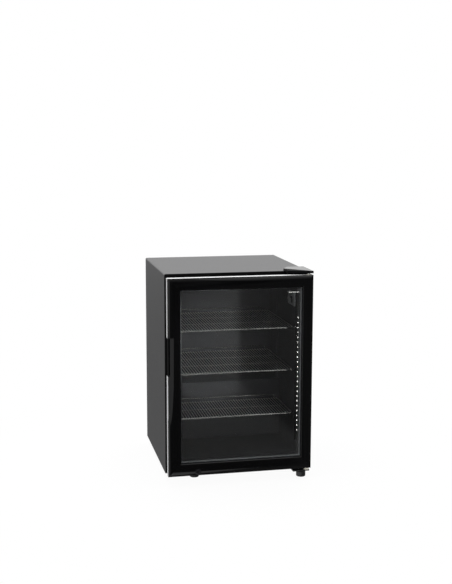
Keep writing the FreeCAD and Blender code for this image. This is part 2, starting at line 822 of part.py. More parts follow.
def can_form(inset):
    """The compressor can's domed form, inset by one distance, standing on the origin's level."""
    r = compressor_radius - inset
    dome = compressor_dome - inset
    low = inset
    high = compressor_height - inset
    flat = r - dome
    curve = dome * math.sqrt(0.5)
    half = [
        Part.makeLine(Vec(0, 0, low), Vec(flat, 0, low)),
        Part.Arc(Vec(flat, 0, low), Vec(flat + curve, 0, low + dome - curve),
                 Vec(r, 0, low + dome)).toShape(),
        Part.makeLine(Vec(r, 0, low + dome), Vec(r, 0, high - dome)),
        Part.Arc(Vec(r, 0, high - dome), Vec(flat + curve, 0, high - dome + curve),
                 Vec(flat, 0, high)).toShape(),
        Part.makeLine(Vec(flat, 0, high), Vec(0, 0, high)),
        Part.makeLine(Vec(0, 0, high), Vec(0, 0, low)),
    ]
    return Part.Face(Part.Wire(half)).revolve(Vec(0, 0, 0), Vec(0, 0, 1), 360)


def compressor():
    """The sealed can with its weld flange on a drilled mounting plate, and the pump block inside it."""
    flange = Part.makeCylinder(compressor_radius + compressor_flange, compressor_flange,
                               Vec(0, 0, compressor_height / 2))
    can = can_form(0).fuse(flange).cut(can_form(can_wall))
    can.translate(Vec(compressor_x, compressor_y, can_bottom_z))
    half_length = mount_plate_length / 2
    half_depth = mount_plate_width / 2
    plate = box(compressor_x - half_length, compressor_x + half_length, compressor_y - half_depth,
                compressor_y + half_depth, plate_z, can_bottom_z)
    holes = Part.makeCompound([bolt_hole(place, plate_z, can_bottom_z) for place in mount_places])
    pump_z = can_bottom_z + can_wall
    pump = Part.makeCylinder(pump_radius, pump_height, Vec(compressor_x, compressor_y, pump_z))
    return [can.fuse(plate.cut(holes)).removeSplitter(), pump]


def compressor_grommets():
    """Four waisted rubber mounts under the plate."""
    r = grommet_radius
    hole = bolt_radius + hole_clearance
    h = grommet_height
    waist = 0.75 * r
    profile = [(hole, 0), (r, 0), (r, h / 3), (waist, h / 2), (r, 2 * h / 3), (r, h), (hole, h)]
    return [turned(profile, (*place, pan_top_z)) for place in mount_places]


def compressor_bolts():
    """Four bolts up through the base, each with its nut."""
    pieces = []
    for place in mount_places:
        shank = rod(bolt_radius, (*place, base_z), (*place, can_bottom_z + nut_height + bolt_radius))
        head = rod(bolt_head_radius, (*place, base_z - bolt_head), (*place, base_z))
        corners = [(place[0] + bolt_head_radius * math.cos(math.radians(60 * step)),
                    place[1] + bolt_head_radius * math.sin(math.radians(60 * step)), can_bottom_z)
                   for step in range(6)]
        nut_hole = bolt_hole(place, can_bottom_z, can_bottom_z + nut_height)
        nut = prism(corners, (0, 0, nut_height)).cut(nut_hole)
        pieces += [shank.fuse(head).removeSplitter(), nut]
    return pieces


def relay_box():
    """The starter's cover on the side of the can."""
    block = box(compressor_x, compressor_x + compressor_radius + relay_reach, compressor_y - relay_width / 2,
                compressor_y + relay_width / 2, relay_z, relay_z + relay_height)
    can = rod(compressor_radius + compressor_flange + relay_gap, (compressor_x, compressor_y, can_bottom_z),
              (compressor_x, compressor_y, can_top_z))
    return [block.cut(can)]


def drip_tray():
    """The open tray on the can, in which the melt water dries off."""
    x0 = compressor_x - tray_length / 2
    y0 = compressor_y - tray_width / 2
    z0 = can_top_z + tray_gap
    tray = box(x0, x0 + tray_length, y0, y0 + tray_width, z0, z0 + tray_height)
    space = box(x0 + tray_wall, x0 + tray_length - tray_wall, y0 + tray_wall, y0 + tray_width - tray_wall,
                z0 + tray_wall, z0 + tray_height)
    return [tray.cut(space)]


def drain_tube():
    """The melt-water tube from the step down through the foam into the bay."""
    low_z = bay_top_z - drain_drop
    tube = rod(drain_radius, (drain_x, drain_y, low_z), (drain_x, drain_y, step_top_z - liner_wall))
    bore = rod(drain_bore, (drain_x, drain_y, low_z), (drain_x, drain_y, step_top_z - liner_wall))
    return [tube.cut(bore)]


def condenser():
    """The wire-on-tube grid behind the back panel, and the two tails brazed to it that turn into the bay."""
    reach = condenser_half_run
    tail = condenser_tail_x
    joint_z = first_run_z - condenser_joint_drop
    last_z = first_run_z + (condenser_runs - 1) * condenser_run_pitch
    route = [(tail, condenser_y, joint_z), (tail, condenser_y, first_run_z)]
    for run in range(condenser_runs):
        z = first_run_z + run * condenser_run_pitch
        ends = (reach, -reach) if run % 2 == 0 else (-reach, reach)
        if run > 0:
            route.append((ends[0], condenser_y, z))
        if run < condenser_runs - 1:
            route.append((ends[1], condenser_y, z))
    route += [(-tail, condenser_y, last_z), (-tail, condenser_y, joint_z)]
    wire_y = condenser_y + tube_radius + condenser_wire_radius - weld_sink
    first_x = -(condenser_wires - 1) * condenser_wire_pitch / 2
    low_z = first_run_z - condenser_wire_overrun
    high_z = last_z + condenser_wire_overrun
    wire_places = [first_x + step * condenser_wire_pitch for step in range(condenser_wires)]
    wires = [rod(condenser_wire_radius, (x, wire_y, low_z), (x, wire_y, high_z)) for x in wire_places]
    grid = bent_tube(route, tail_bend, tube_radius).multiFuse(wires)
    tails = [bent_tube([(x, condenser_y, joint_z), (x, condenser_y, z), (x, tail_y, z)],
                       tail_bend, tube_radius)
             for x, z in ((tail, right_tail_z), (-tail, left_tail_z))]
    return [grid] + tails


def condenser_standoffs():
    """Four blocks that hold the grid off the back panel and off the wall behind it."""
    blocks = []
    gap_x = (condenser_wires // 2 - 2.5) * condenser_wire_pitch
    for x in (-gap_x, gap_x):
        for run in (1, condenser_runs - 2):
            z = first_run_z + run * condenser_run_pitch
            block = box(x - standoff_width / 2, x + standoff_width / 2, back_y, back_y + condenser_reach,
                        z - standoff_height / 2, z + standoff_height / 2)
            tube = rod(tube_radius + standoff_clearance, (x - standoff_width, condenser_y, z),
                       (x + standoff_width, condenser_y, z))
            blocks.append(block.cut(tube))
    return blocks


def filter_drier():
    """The copper drier between the condenser and the capillary, with drawn-in ends."""
    neck = tube_radius
    profile = [(0, 0), (neck, 0), (drier_radius, drier_taper), (drier_radius, drier_length - drier_taper),
               (neck, drier_length), (0, drier_length)]
    body = turned(profile, (0, 0, 0))
    body.rotate(Vec(0, 0, 0), Vec(1, 0, 0), 90)
    body.translate(Vec(condenser_tail_x, tail_y, right_tail_z))
    return [body]


def capillary_tube():
    """The thin tube from the drier up into the foam."""
    return [bent_tube([(condenser_tail_x, tail_y - drier_length, right_tail_z),
                       (condenser_tail_x, capillary_y, right_tail_z),
                       (condenser_tail_x, capillary_y, bay_top_z)], pipe_bend, capillary_radius)]


def suction_pipe():
    """The return pipe from the foam down to the can."""
    z = pan_top_z + suction_height
    can_x = compressor_x + compressor_radius + pipe_gap
    return [bent_tube([(suction_x, suction_y, bay_top_z), (suction_x, suction_y, z),
                       (suction_x, compressor_y, z), (can_x, compressor_y, z)], pipe_bend, suction_radius)]


def discharge_pipe():
    """The hot pipe from the can round to the condenser's tail."""
    z = (can_bottom_z + can_top_z) / 2 - relay_height / 2
    return [bent_tube([(compressor_x - compressor_radius - pipe_gap, compressor_y, z),
                       (-condenser_tail_x, compressor_y, z), (-condenser_tail_x, compressor_y, left_tail_z),
                       (-condenser_tail_x, tail_y, left_tail_z)], pipe_bend, tube_radius)]


def evaporator_coil():
    """The cold tube on the back of the liner, foamed in."""
    route = []
    reach = coil_half_run - coil_radius
    for run in range(coil_runs):
        z = coil_bottom_z + run * coil_pitch
        ends = (reach, -reach) if run % 2 == 0 else (-reach, reach)
        route += [(x, coil_y, z) for x in ends]
    return [bent_tube(route, coil_bend, coil_radius)]


def cord_gland():
    """The gland in the rear lip that the mains lead comes in through."""
    inner_y = back_y - pan_sheet
    sleeve = rod(gland_radius, (gland_x, inner_y - gland_length + gland_flange + pan_sheet, gland_z),
                 (gland_x, back_y, gland_z))
    flange = rod(gland_flange_radius, (gland_x, back_y, gland_z), (gland_x, back_y + gland_flange, gland_z))
    bore = rod(gland_bore, (gland_x, inner_y - gland_length, gland_z),
               (gland_x, back_y + gland_flange, gland_z))
    return [sleeve.fuse(flange).removeSplitter().cut(bore)]


# Hinges
pin_hole_radius = pin_radius + running_clearance


def upper_hinge_plate():
    """The steel plate on the cabinet's top, with a round-ended arm out over the door."""
    half_arm = hinge_arm_width / 2
    plate = box(upper_plate_left, upper_plate_right, front_y, upper_plate_rear_y, top_z, upper_hinge_z)
    arm = box(hinge_x - half_arm, hinge_x + half_arm, hinge_y, front_y, top_z, upper_hinge_z)
    tip = rod(half_arm, (hinge_x, hinge_y, top_z), (hinge_x, hinge_y, upper_hinge_z))
    pin = rod(pin_hole_radius, (hinge_x, hinge_y, top_z), (hinge_x, hinge_y, upper_hinge_z))
    return [plate.multiFuse([arm, tip]).removeSplitter().cut(pin).cut(screw_holes)]


def upper_hinge_pin():
    """The shouldered pin that goes down from the plate into the door."""
    shank = rod(pin_radius, (hinge_x, hinge_y, door_top_z - pin_reach), (hinge_x, hinge_y, upper_hinge_z))
    shoulder = rod(pin_radius + pin_shoulder, (hinge_x, hinge_y, top_z - pin_shoulder),
                   (hinge_x, hinge_y, top_z))
    return [shank.fuse(shoulder).removeSplitter()]


def hinge_cover():
    """The moulded cap over the upper hinge, open below: its front slants back to the left, over the door."""
    left = half_width - cover_edge_margin - cover_length
    right = half_width - cover_edge_margin
    front = door_front_y + cover_edge_margin
    rear = front_y + cover_rear
    low_z = top_z - cover_overhang_drop
    points = [(left, front + cover_front_slant), (right, front), (right, rear),
              (left + cover_corner_width, rear), (left, rear - cover_corner_length)]
    corners = [Vec(x, y, low_z) for x, y in points]
    outline = Part.Face(Part.makePolygon(corners + corners[:1]))
    height = cover_height + cover_overhang_drop
    outside = outline.extrude(Vec(0, 0, height))
    inside = outline.makeOffset2D(-cover_wall).extrude(Vec(0, 0, height - cover_wall))
    cabinet = box(-half_width, half_width, front_y - cover_edge_margin, back_y, base_z, top_z)
    return [outside.cut(inside).cut(cabinet)]


def lower_hinge_plate():
    """The flat plate under the cabinet, which carries the door's pin and the right front foot."""
    front = hinge_y - lower_plate_front
    plate = box(lower_plate_left, lower_plate_right, front, lower_plate_rear_y, lower_screw_z, base_z)
    pin = rod(pin_hole_radius, (hinge_x, hinge_y, lower_screw_z), (hinge_x, hinge_y, base_z))
    return [plate.cut(pin).cut(stud_hole(right_foot)).cut(screw_holes)]


def lower_hinge_pin():
    """The pin that stands on the lower plate, inside the door's bush."""
    return [rod(pin_radius, (hinge_x, hinge_y, lower_screw_z), (hinge_x, hinge_y, door_bottom_z + pin_reach))]


def bush(z, up):
    """A flanged nylon bush in the door's edge: z is the edge, up is the way into the door."""
    sleeve = rod(bush_radius, (hinge_x, hinge_y, z), (hinge_x, hinge_y, z + up * bush_length))
    flange = rod(bush_flange_radius, (hinge_x, hinge_y, z - up * bush_flange), (hinge_x, hinge_y, z))
    bore = rod(pin_hole_radius, (hinge_x, hinge_y, z - up * bush_flange),
               (hinge_x, hinge_y, z + up * bush_length))
    return sleeve.fuse(flange).removeSplitter().cut(bore)


def hinge_bushes():
    """The bushes at the door's top and bottom, and the thrust washer that carries the door."""
    washer_top = door_bottom_z - bush_flange
    washer_bottom = base_z + washer_clearance
    washer = rod(bush_flange_radius, (hinge_x, hinge_y, washer_bottom), (hinge_x, hinge_y, washer_top))
    bore = rod(pin_hole_radius, (hinge_x, hinge_y, base_z), (hinge_x, hinge_y, washer_top))
    return [bush(door_top_z, -1), bush(door_bottom_z, 1), washer.cut(bore)]


# Door
door_box = (-half_width, half_width, door_bottom_z, door_top_z)
glass_box = (glass_left, glass_right, glass_bottom, glass_top)
gasket_box = (-half_width + gasket_side_margin, half_width - gasket_side_margin,
              door_bottom_z + gasket_bottom_margin, door_top_z - gasket_top_margin)
gasket_middle = grown(gasket_box, -gasket_width / 2)


def door_slab():
    """The door's outer form: a front board with rolled edges, and a rear part set back at sides and top."""
    radius = (bevel_width ** 2 + bevel_depth ** 2) / (2 * bevel_depth)
    half_turn = math.asin(bevel_width / radius) / 2
    middle_in = bevel_width - radius * math.sin(half_turn)
    middle_y = door_front_y + radius * (1 - math.cos(half_turn))
    edge_y = door_front_y + bevel_depth

    def section(low, high, place):
        """The board's section from one side to the other: place turns (along, y) into a point."""
        def roll(corner, inward):
            start = Vec(*place(corner + inward * bevel_width, door_front_y))
            middle = Vec(*place(corner + inward * middle_in, middle_y))
            return Part.Arc(start, middle, Vec(*place(corner, edge_y))).toShape()

        points = [(low, edge_y), (low, face_rear_y), (high, face_rear_y), (high, edge_y)]
        corners = [Vec(*place(*point)) for point in points]
        edges = [Part.makeLine(start, end) for start, end in zip(corners, corners[1:])]
        edges.append(Part.makeLine(Vec(*place(low + bevel_width, door_front_y)),
                                   Vec(*place(high - bevel_width, door_front_y))))
        edges += [roll(low, 1), roll(high, -1)]
        return Part.Face(Part.Wire(Part.__sortEdges__(edges)))

    left, right, bottom, top = door_box
    across = section(left, right, lambda x, y: (x, y, bottom)).extrude(Vec(0, 0, top - bottom))
    upright = section(bottom, top, lambda z, y: (left, y, z)).extrude(Vec(right - left, 0, 0))
    rear = box(left + rear_setback, right - rear_setback, face_rear_y, door_rear_y,
               bottom, top - rear_setback)
    return across.common(upright).fuse(rear)


def edge_band():
    """The band round the front board's edge that the bright trim takes up."""
    return ring(door_box, grown(door_box, -edge_trim), door_front_y + bevel_depth, face_rear_y)


def bush_holes():
    """The holes for the hinge bushes in the door's top and bottom edge."""
    return [rod(bush_radius + hole_clearance, (hinge_x, hinge_y, z),
                (hinge_x, hinge_y, z + up * (bush_length + hole_clearance)))
            for z, up in ((door_top_z, -1), (door_bottom_z, 1))]


def door_edge_trim():
    """The bright strip round the door's edge, open at the finger grip."""
    return [edge_band().cut(Part.makeCompound(bush_holes())).cut(Part.makeCompound(finger_grip()))]


def finger_grip():
    """The pocket behind the left stile's front lip, the notch in the lip, and the thumb facet below it."""
    left = -half_width
    low_z = door_bottom_z + grip_height
    high_z = low_z + grip_length
    lip_y = door_front_y + grip_lip
    pocket = box(left, left + grip_reach, lip_y, lip_y + grip_depth, low_z, high_z)
    notch = box(left, left + grip_notch, door_front_y, lip_y, low_z, high_z)
    wide = left + facet_width
    far = left - facet_width
    y = door_front_y
    bend_z = high_z - facet_straight
    end_x = left + facet_end_width
    end_z = high_z - facet_length
    middle_x = wide - (facet_width - facet_end_width) / 4
    middle_z = (bend_z + end_z) / 2
    edges = [
        Part.makeLine(Vec(far, y, high_z), Vec(wide, y, high_z)),
        Part.makeLine(Vec(wide, y, high_z), Vec(wide, y, bend_z)),
        Part.Arc(Vec(wide, y, bend_z), Vec(middle_x, y, middle_z), Vec(end_x, y, end_z)).toShape(),
        Part.makeLine(Vec(end_x, y, end_z), Vec(far, y, end_z)),
        Part.makeLine(Vec(far, y, end_z), Vec(far, y, high_z)),
    ]
    facet = Part.Face(Part.Wire(edges)).extrude(Vec(-2 * facet_width, 2 * facet_fall, 0))
    return [pocket, notch, facet]


def door_frame():
    """The whole frame before it is mitred: opening, glass seat, seal groove, grip, lock and bush holes."""
    left, right, bottom, top = glass_box
    opening = box(left, right, door_front_y, door_rear_y, bottom, top)
    wide = grown(glass_box, lip_chamfer)

    def rectangle(corners, y):
        x0, x1, z0, z1 = corners
        points = [Vec(x0, y, z0), Vec(x1, y, z0), Vec(x1, y, z1), Vec(x0, y, z1), Vec(x0, y, z0)]
        return Part.makePolygon(points)

    flare = Part.makeLoft([rectangle(wide, door_front_y), rectangle(glass_box, door_front_y + lip_chamfer)],
                          True, True)
    seat_left, seat_right, seat_bottom, seat_top = grown(glass_box, glass_seat)
    seat = box(seat_left, seat_right, glass_y, door_rear_y, seat_bottom, seat_top)
    groove_margin = dart_width / 2 + dart_clearance
    groove = ring(grown(gasket_middle, groove_margin), grown(gasket_middle, -groove_margin),
                  door_rear_y - dart_depth - dart_clearance, door_rear_y)
    lock = rod(lock_radius + hole_clearance, (lock_x, door_front_y, lock_z), (lock_x, door_rear_y, lock_z))
    frame = door_slab().cut(opening)
    for tool in [edge_band(), flare, seat, groove, lock] + bush_holes() + finger_grip():
        frame = frame.cut(tool)
    return frame


def mitred(frame):
    """The frame cut on its corner lines into the four lengths it is assembled from."""
    x0, x1, z0, z1 = door_box
    g0, g1, h0, h1 = glass_box
    depth = (0, door_depth, 0)
    y = door_front_y
    middle_z = (h0 + h1) / 2
    middle_x = (g0 + g1) / 2

    def inner(corner, glass_corner):
        """Carry a mitre line on past the glass corner, as far again as the seat reaches."""
        run = Vec(*glass_corner) - Vec(*corner)
        end = Vec(*corner) + run * ((run.Length + glass_seat) / run.Length)
        return end.x, end.y, end.z

    corners = {(x, z): (x, y, z) for x in (x0, x1) for z in (z0, z1)}
    ends = {(x, z): inner((x, y, z), (g, y, h))
            for x, g in ((x0, g0), (x1, g1)) for z, h in ((z0, h0), (z1, h1))}
    sides = {"door_stile_left": ((x0, z0), (x0, z1)), "door_stile_right": ((x1, z0), (x1, z1)),
             "door_rail_top": ((x0, z1), (x1, z1)), "door_rail_bottom": ((x0, z0), (x1, z0))}
    lengths = {}
    for name, (first, last) in sides.items():
        outline = [corners[first], ends[first], (middle_x, y, middle_z), ends[last], corners[last]]
        lengths[name] = frame.common(prism(outline, depth)).Solids
    return lengths


def glazing_beads():
    """Four strips behind the glass that clamp it in the frame."""
    left, right, bottom, top = grown(glass_box, glass_seat - bead_clearance)
    g0, g1, h0, h1 = glass_box
    y0 = bead_y + bead_clearance
    return [box(left, g0, y0, door_rear_y, bottom, top), box(g1, right, y0, door_rear_y, bottom, top),
            box(g0, g1, y0, door_rear_y, h1, top), box(g0, g1, y0, door_rear_y, bottom, h0)]


def glass_pane(y):
    """One pane, with room round its edges in the seat."""
    left, right, bottom, top = grown(glass_box, glass_seat - glass_edge_gap)
    return [box(left, right, y, y + pane_thickness, bottom, top)]


def glass_spacer():
    """The hollow-looking aluminium bar that keeps the panes apart, just out of sight behind the lip."""
    outside = grown(glass_box, glass_seat - glass_edge_gap)
    return [ring(outside, grown(outside, -spacer_width), pane_gap_y, inner_pane_y)]


def door_gasket():
    """The bellows seal: a base with a dart in the door's groove, a neck, and a head round the magnet."""
    head_y = front_y - gasket_clearance
    neck_box = grown(gasket_middle, gasket_neck / 2)
    layers = [
        ring(gasket_box, grown(gasket_box, -gasket_width), door_rear_y, door_rear_y + gasket_base),
        ring(neck_box, grown(neck_box, -gasket_neck), door_rear_y + gasket_base, head_y - gasket_head),
        ring(grown(gasket_middle, dart_width / 2), grown(gasket_middle, -dart_width / 2),
             door_rear_y - dart_depth, door_rear_y),
    ]
    head = ring(gasket_box, grown(gasket_box, -gasket_width), head_y - gasket_head, head_y)
    magnet_box = grown(gasket_middle, magnet_width / 2 + magnet_clearance)
    space = ring(magnet_box, grown(magnet_box, -magnet_width - 2 * magnet_clearance),
                 magnet_y - magnet_clearance, magnet_y + magnet_depth + magnet_clearance)
    return [head.multiFuse(layers).removeSplitter().cut(space)]


magnet_y = front_y - gasket_clearance - gasket_head / 2 - magnet_depth / 2


def gasket_magnets():
    """Four bars of flexible magnet inside the seal's head."""
    left, right, bottom, top = grown(gasket_middle, magnet_width / 2)
    inner_left, inner_right, inner_bottom, inner_top = grown(gasket_middle, -magnet_width / 2)
    y0 = magnet_y
    y1 = magnet_y + magnet_depth
    return [box(left, inner_left, y0, y1, bottom, top),
            box(inner_right, right, y0, y1, bottom, top),
            box(inner_left, inner_right, y0, y1, inner_top, top),
            box(inner_left, inner_right, y0, y1, bottom, inner_bottom)]


# Lock
cam_y = door_rear_y + keeper_clearance + keeper_sheet + cam_gap
cam_length = lock_z - base_z - cam_tip_gap
spindle_end_y = cam_y + cam_sheet


def lock_housing():
    """The barrel fixed in the bottom rail."""
    barrel = rod(lock_radius, (lock_x, door_front_y, lock_z), (lock_x, door_rear_y, lock_z))
    bore = rod(plug_radius + running_clearance, (lock_x, door_front_y, lock_z), (lock_x, door_rear_y, lock_z))
    return [barrel.cut(bore)]


def lock_plug():
    """The turning plug with its keyway, and the spindle behind it."""
    plug = rod(plug_radius, (lock_x, door_front_y + plug_recess, lock_z), (lock_x, door_rear_y, lock_z))
    spindle = rod(spindle_radius, (lock_x, door_rear_y, lock_z), (lock_x, spindle_end_y, lock_z))
    keyway = box(lock_x - keyway_width / 2, lock_x + keyway_width / 2,
                 door_front_y, door_front_y + plug_recess + keyway_depth,
                 lock_z - keyway_height / 2, lock_z + keyway_height / 2)
    return [plug.fuse(spindle).removeSplitter().cut(keyway)]


def lock_cam():
    """The flat tongue on the spindle, lying level while the door is unlocked."""
    bar = box(lock_x, lock_x + cam_length, cam_y, spindle_end_y,
              lock_z - cam_width / 2, lock_z + cam_width / 2)
    eye = rod(cam_width / 2, (lock_x, cam_y, lock_z), (lock_x, spindle_end_y, lock_z))
    hole = rod(spindle_radius, (lock_x, cam_y, lock_z), (lock_x, spindle_end_y, lock_z))
    return [bar.fuse(eye).removeSplitter().cut(hole)]


def lock_keeper():
    """The bent strip under the cabinet that the turned tongue hooks behind."""
    front = door_rear_y + keeper_clearance
    left = lock_x - keeper_width / 2
    right = lock_x + keeper_width / 2
    plate = box(left, right, front, keeper_rear_y, keeper_bottom_z, base_z)
    tab = box(left, right, front, front + keeper_sheet, keeper_bottom_z, base_z + keeper_rise)
    return [plate.fuse(tab).removeSplitter().cut(screw_holes)]


def underside_screws():
    """The screws of the lower hinge and the keeper, driven up into the base."""
    return [screw(place, (0, 0, 1)) for place in lower_screws + keeper_screws]


def foot(place, stud_top):
    """A levelling foot: a round-edged pad and its stud."""
    pad = Part.makeCylinder(foot_radius, foot_pad_height, Vec(place[0], place[1], 0))
    rims = [edge for edge in pad.Edges if edge.BoundBox.ZLength < hole_clearance]
    pad = pad.makeFillet(foot_rounding, rims)
    stud = rod(stud_radius, (*place, foot_pad_height), (*place, stud_top))
    return pad.fuse(stud)


def rear_feet_pair():
    """The two fixed rear feet, each with a collar up to the base."""
    feet = []
    for place in rear_feet:
        collar = rod(foot_radius - foot_rounding, (*place, foot_pad_height), (*place, base_z))
        feet.append(foot(place, stud_top_z).fuse(collar).removeSplitter())
    return feet


nodes = {
    "outer_shell": outer_shell(),
    "back_panel": back_panel(),
    "back_panel_screws": [screw(place, (0, -1, 0)) for place in back_screws],
    "base_pan": base_pan(),
    "front_frame": front_frame(),
    "inner_liner": inner_liner(),
    "insulation": insulation(),
    "bay_cover": bay_cover(),
    "shelf_runners": shelf_runners(),
    "sensor_conduit": sensor_conduit(),
    "control_housing": control_housing(),
    "thermostat_knob": thermostat_knob(),
    "light_rocker": light_rocker(),
    "led_channel": led_channel(),
    "led_board": led_board(),
    "led_chips": led_chips(),
    "lamp_bracket": lamp_bracket(),
    "compressor": compressor(),
    "compressor_grommets": compressor_grommets(),
    "compressor_bolts": compressor_bolts(),
    "relay_box": relay_box(),
    "drip_tray": drip_tray(),
    "drain_tube": drain_tube(),
    "condenser": condenser(),
    "condenser_standoffs": condenser_standoffs(),
    "filter_drier": filter_drier(),
    "capillary_tube": capillary_tube(),
    "suction_pipe": suction_pipe(),
    "discharge_pipe": discharge_pipe(),
    "evaporator_coil": evaporator_coil(),
    "cord_gland": cord_gland(),
    "upper_hinge_plate": upper_hinge_plate(),
    "upper_hinge_pin": upper_hinge_pin(),
    "upper_hinge_screws": [screw(place, (0, 0, -1)) for place in upper_screws],
    "hinge_cover": hinge_cover(),
    "lower_hinge_plate": lower_hinge_plate(),
    "lower_hinge_pin": lower_hinge_pin(),
    "underside_screws": underside_screws(),
    "hinge_bushes": hinge_bushes(),
    "front_left_foot": [foot(left_foot, stud_top_z)],
    "front_right_foot": [foot(right_foot, base_z)],
    "rear_feet": rear_feet_pair(),
    "lock_keeper": lock_keeper(),
    "glazing_beads": glazing_beads(),
    "outer_glass": glass_pane(glass_y),
    "inner_glass": glass_pane(inner_pane_y),
    "glass_spacer": glass_spacer(),
    "door_gasket": door_gasket(),
    "gasket_magnets": gasket_magnets(),
    "lock_housing": lock_housing(),
    "lock_plug": lock_plug(),
    "lock_cam": lock_cam(),
    "door_edge_trim": door_edge_trim(),
}
nodes.update(mitred(door_frame()))
for level, shelf_top in shelf_tops.items():
    nodes[f"{level}_shelf"] = wire_shelf(shelf_top, shelf_rears[level])

for name, solids in nodes.items():
    shape = solids[0] if len(solids) == 1 else Part.makeCompound(solids)
    shape.exportStep(f"parts/{name}.step")
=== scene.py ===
"""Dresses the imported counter-top freezer: finishes, stage, light and camera. Metres, +Z up, door at -Y."""
import bmesh
import bpy
import json
import math
import numpy as np
from mathutils import Matrix, Vector

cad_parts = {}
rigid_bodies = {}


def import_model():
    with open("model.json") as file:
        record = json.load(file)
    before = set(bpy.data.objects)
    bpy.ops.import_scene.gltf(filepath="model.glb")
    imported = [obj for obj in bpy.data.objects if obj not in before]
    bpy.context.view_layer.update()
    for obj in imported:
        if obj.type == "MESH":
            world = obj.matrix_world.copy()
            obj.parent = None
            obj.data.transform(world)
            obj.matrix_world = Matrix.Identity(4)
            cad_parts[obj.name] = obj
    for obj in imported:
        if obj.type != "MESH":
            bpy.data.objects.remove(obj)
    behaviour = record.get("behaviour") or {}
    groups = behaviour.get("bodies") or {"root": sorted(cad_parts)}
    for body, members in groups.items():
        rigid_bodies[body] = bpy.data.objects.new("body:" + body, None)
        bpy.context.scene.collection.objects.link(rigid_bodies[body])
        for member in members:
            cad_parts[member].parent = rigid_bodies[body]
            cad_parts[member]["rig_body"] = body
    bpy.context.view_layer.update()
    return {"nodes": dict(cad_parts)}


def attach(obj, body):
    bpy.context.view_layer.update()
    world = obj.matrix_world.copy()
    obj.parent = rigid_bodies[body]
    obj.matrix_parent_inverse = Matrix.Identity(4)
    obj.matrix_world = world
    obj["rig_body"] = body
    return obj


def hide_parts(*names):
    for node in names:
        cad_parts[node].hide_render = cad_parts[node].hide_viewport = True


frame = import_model()
nodes = frame["nodes"]


# Cabinet shell: one folded steel sheet over both sides and the top, powder-coated satin black.
# The baked powder leaves a fine orange-peel skin that turns pale where it is seen at a low angle.

def linear(hex_colour):
    """An sRGB hex colour as linear RGBA: below 0.04045 a straight line, above it a power of 2.4."""
    channels = [int(hex_colour[i:i + 2], 16) / 255 for i in (1, 3, 5)]
    return [c / 12.92 if c <= 0.04045 else ((c + 0.055) / 1.055) ** 2.4 for c in channels] + [1.0]


def add(tree, kind, values=None, links=None, **settings):
    """Adds one shader node: settings are its properties, values its plain sockets, links its fed sockets."""
    made = tree.nodes.new(kind)
    for name, value in settings.items():
        setattr(made, name, value)
    for name, value in (values or {}).items():
        made.inputs[name].default_value = value
    for name, source in (links or {}).items():
        tree.links.new(source, made.inputs[name])
    return made


def blank(name):
    """A new material with an empty node tree and its output."""
    material = bpy.data.materials.new(name)
    material.use_nodes = True
    tree = material.node_tree
    tree.nodes.clear()
    return material, tree, tree.nodes.new("ShaderNodeOutputMaterial")


def grained(name, dark, pale, roughness, grain_mm, depth_mm, patch_mm=60.0, patches="ShaderNodeTexNoise",
            stretch=(1.0, 1.0, 1.0), **sockets):
    """A surface with a fine grain and broad patches.

    Colour runs from dark to pale over patches patch_mm wide; roughness runs between its two values with
    the grain; the grain, grain_mm wide and depth_mm deep, is also the bump. stretch below 1 draws the
    grain out along that axis. sockets are plain shader values, their names written with underscores.
    """
    material, tree, output = blank(name)
    place = add(tree, "ShaderNodeTexCoord").outputs["Object"]
    drawn = add(tree, "ShaderNodeMapping", {"Scale": stretch}, {"Vector": place})
    grain = add(tree, "ShaderNodeTexNoise", {"Scale": 1000 / grain_mm, "Detail": 3.0, "Roughness": 0.55},
                {"Vector": drawn.outputs["Vector"]})
    patch = add(tree, patches, {"Scale": 1000 / patch_mm, "Detail": 4.0, "Roughness": 0.6},
                {"Vector": place})
    colour = add(tree, "ShaderNodeMix", {6: linear(dark), 7: linear(pale)},
                 {"Factor": patch.outputs["Color"]}, data_type="RGBA")
    gloss = add(tree, "ShaderNodeMapRange", {"From Min": 0.3, "From Max": 0.7, "To Min": roughness[0],
                                             "To Max": roughness[1]}, {"Value": grain.outputs["Fac"]})
    bump = add(tree, "ShaderNodeBump", {"Strength": 1.0, "Distance": depth_mm / 1000},
               {"Height": grain.outputs["Fac"]})
    plain = {key.replace("_", " "): value for key, value in sockets.items()}
    shader = add(tree, "ShaderNodeBsdfPrincipled", plain,
                 {"Base Color": colour.outputs[2], "Roughness": gloss.outputs["Result"],
                  "Normal": bump.outputs["Normal"]})
    tree.links.new(shader.outputs["BSDF"], output.inputs["Surface"])
    return material


def finish(material, roll_mm, *names, crease=40.0):
    """Shows CAD nodes as finished copies: triangles joined into flat faces, sharp edges rolled.

    The loose triangles are merged, and those that lie within a degree of one plane become one face. A
    bevel of roll_mm then rounds each edge of more than 40 degrees. Shading breaks at edges of more than
    crease degrees.
    """
    for name in names:
        joined = bmesh.new()
        joined.from_mesh(nodes[name].data)
        bmesh.ops.remove_doubles(joined, verts=joined.verts, dist=1e-6)
        bmesh.ops.dissolve_limit(joined, angle_limit=math.radians(1.0), verts=joined.verts,
                                 edges=joined.edges)
        mesh = bpy.data.meshes.new(name + "_finish")
        joined.to_mesh(mesh)
        joined.free()
        mesh.materials.append(material)
        mesh.shade_smooth()
        mesh.set_sharp_from_angle(angle=math.radians(crease))
        piece = bpy.data.objects.new(name + "_finish", mesh)
        bpy.context.scene.collection.objects.link(piece)
        if roll_mm > 0:
            roll = piece.modifiers.new("rolled_edges", "BEVEL")
            roll.width = roll_mm / 1000
            roll.segments = 2
            roll.limit_method = "ANGLE"
            roll.angle_limit = math.radians(40.0)
            roll.harden_normals = True
        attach(piece, nodes[name]["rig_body"])
        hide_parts(name)


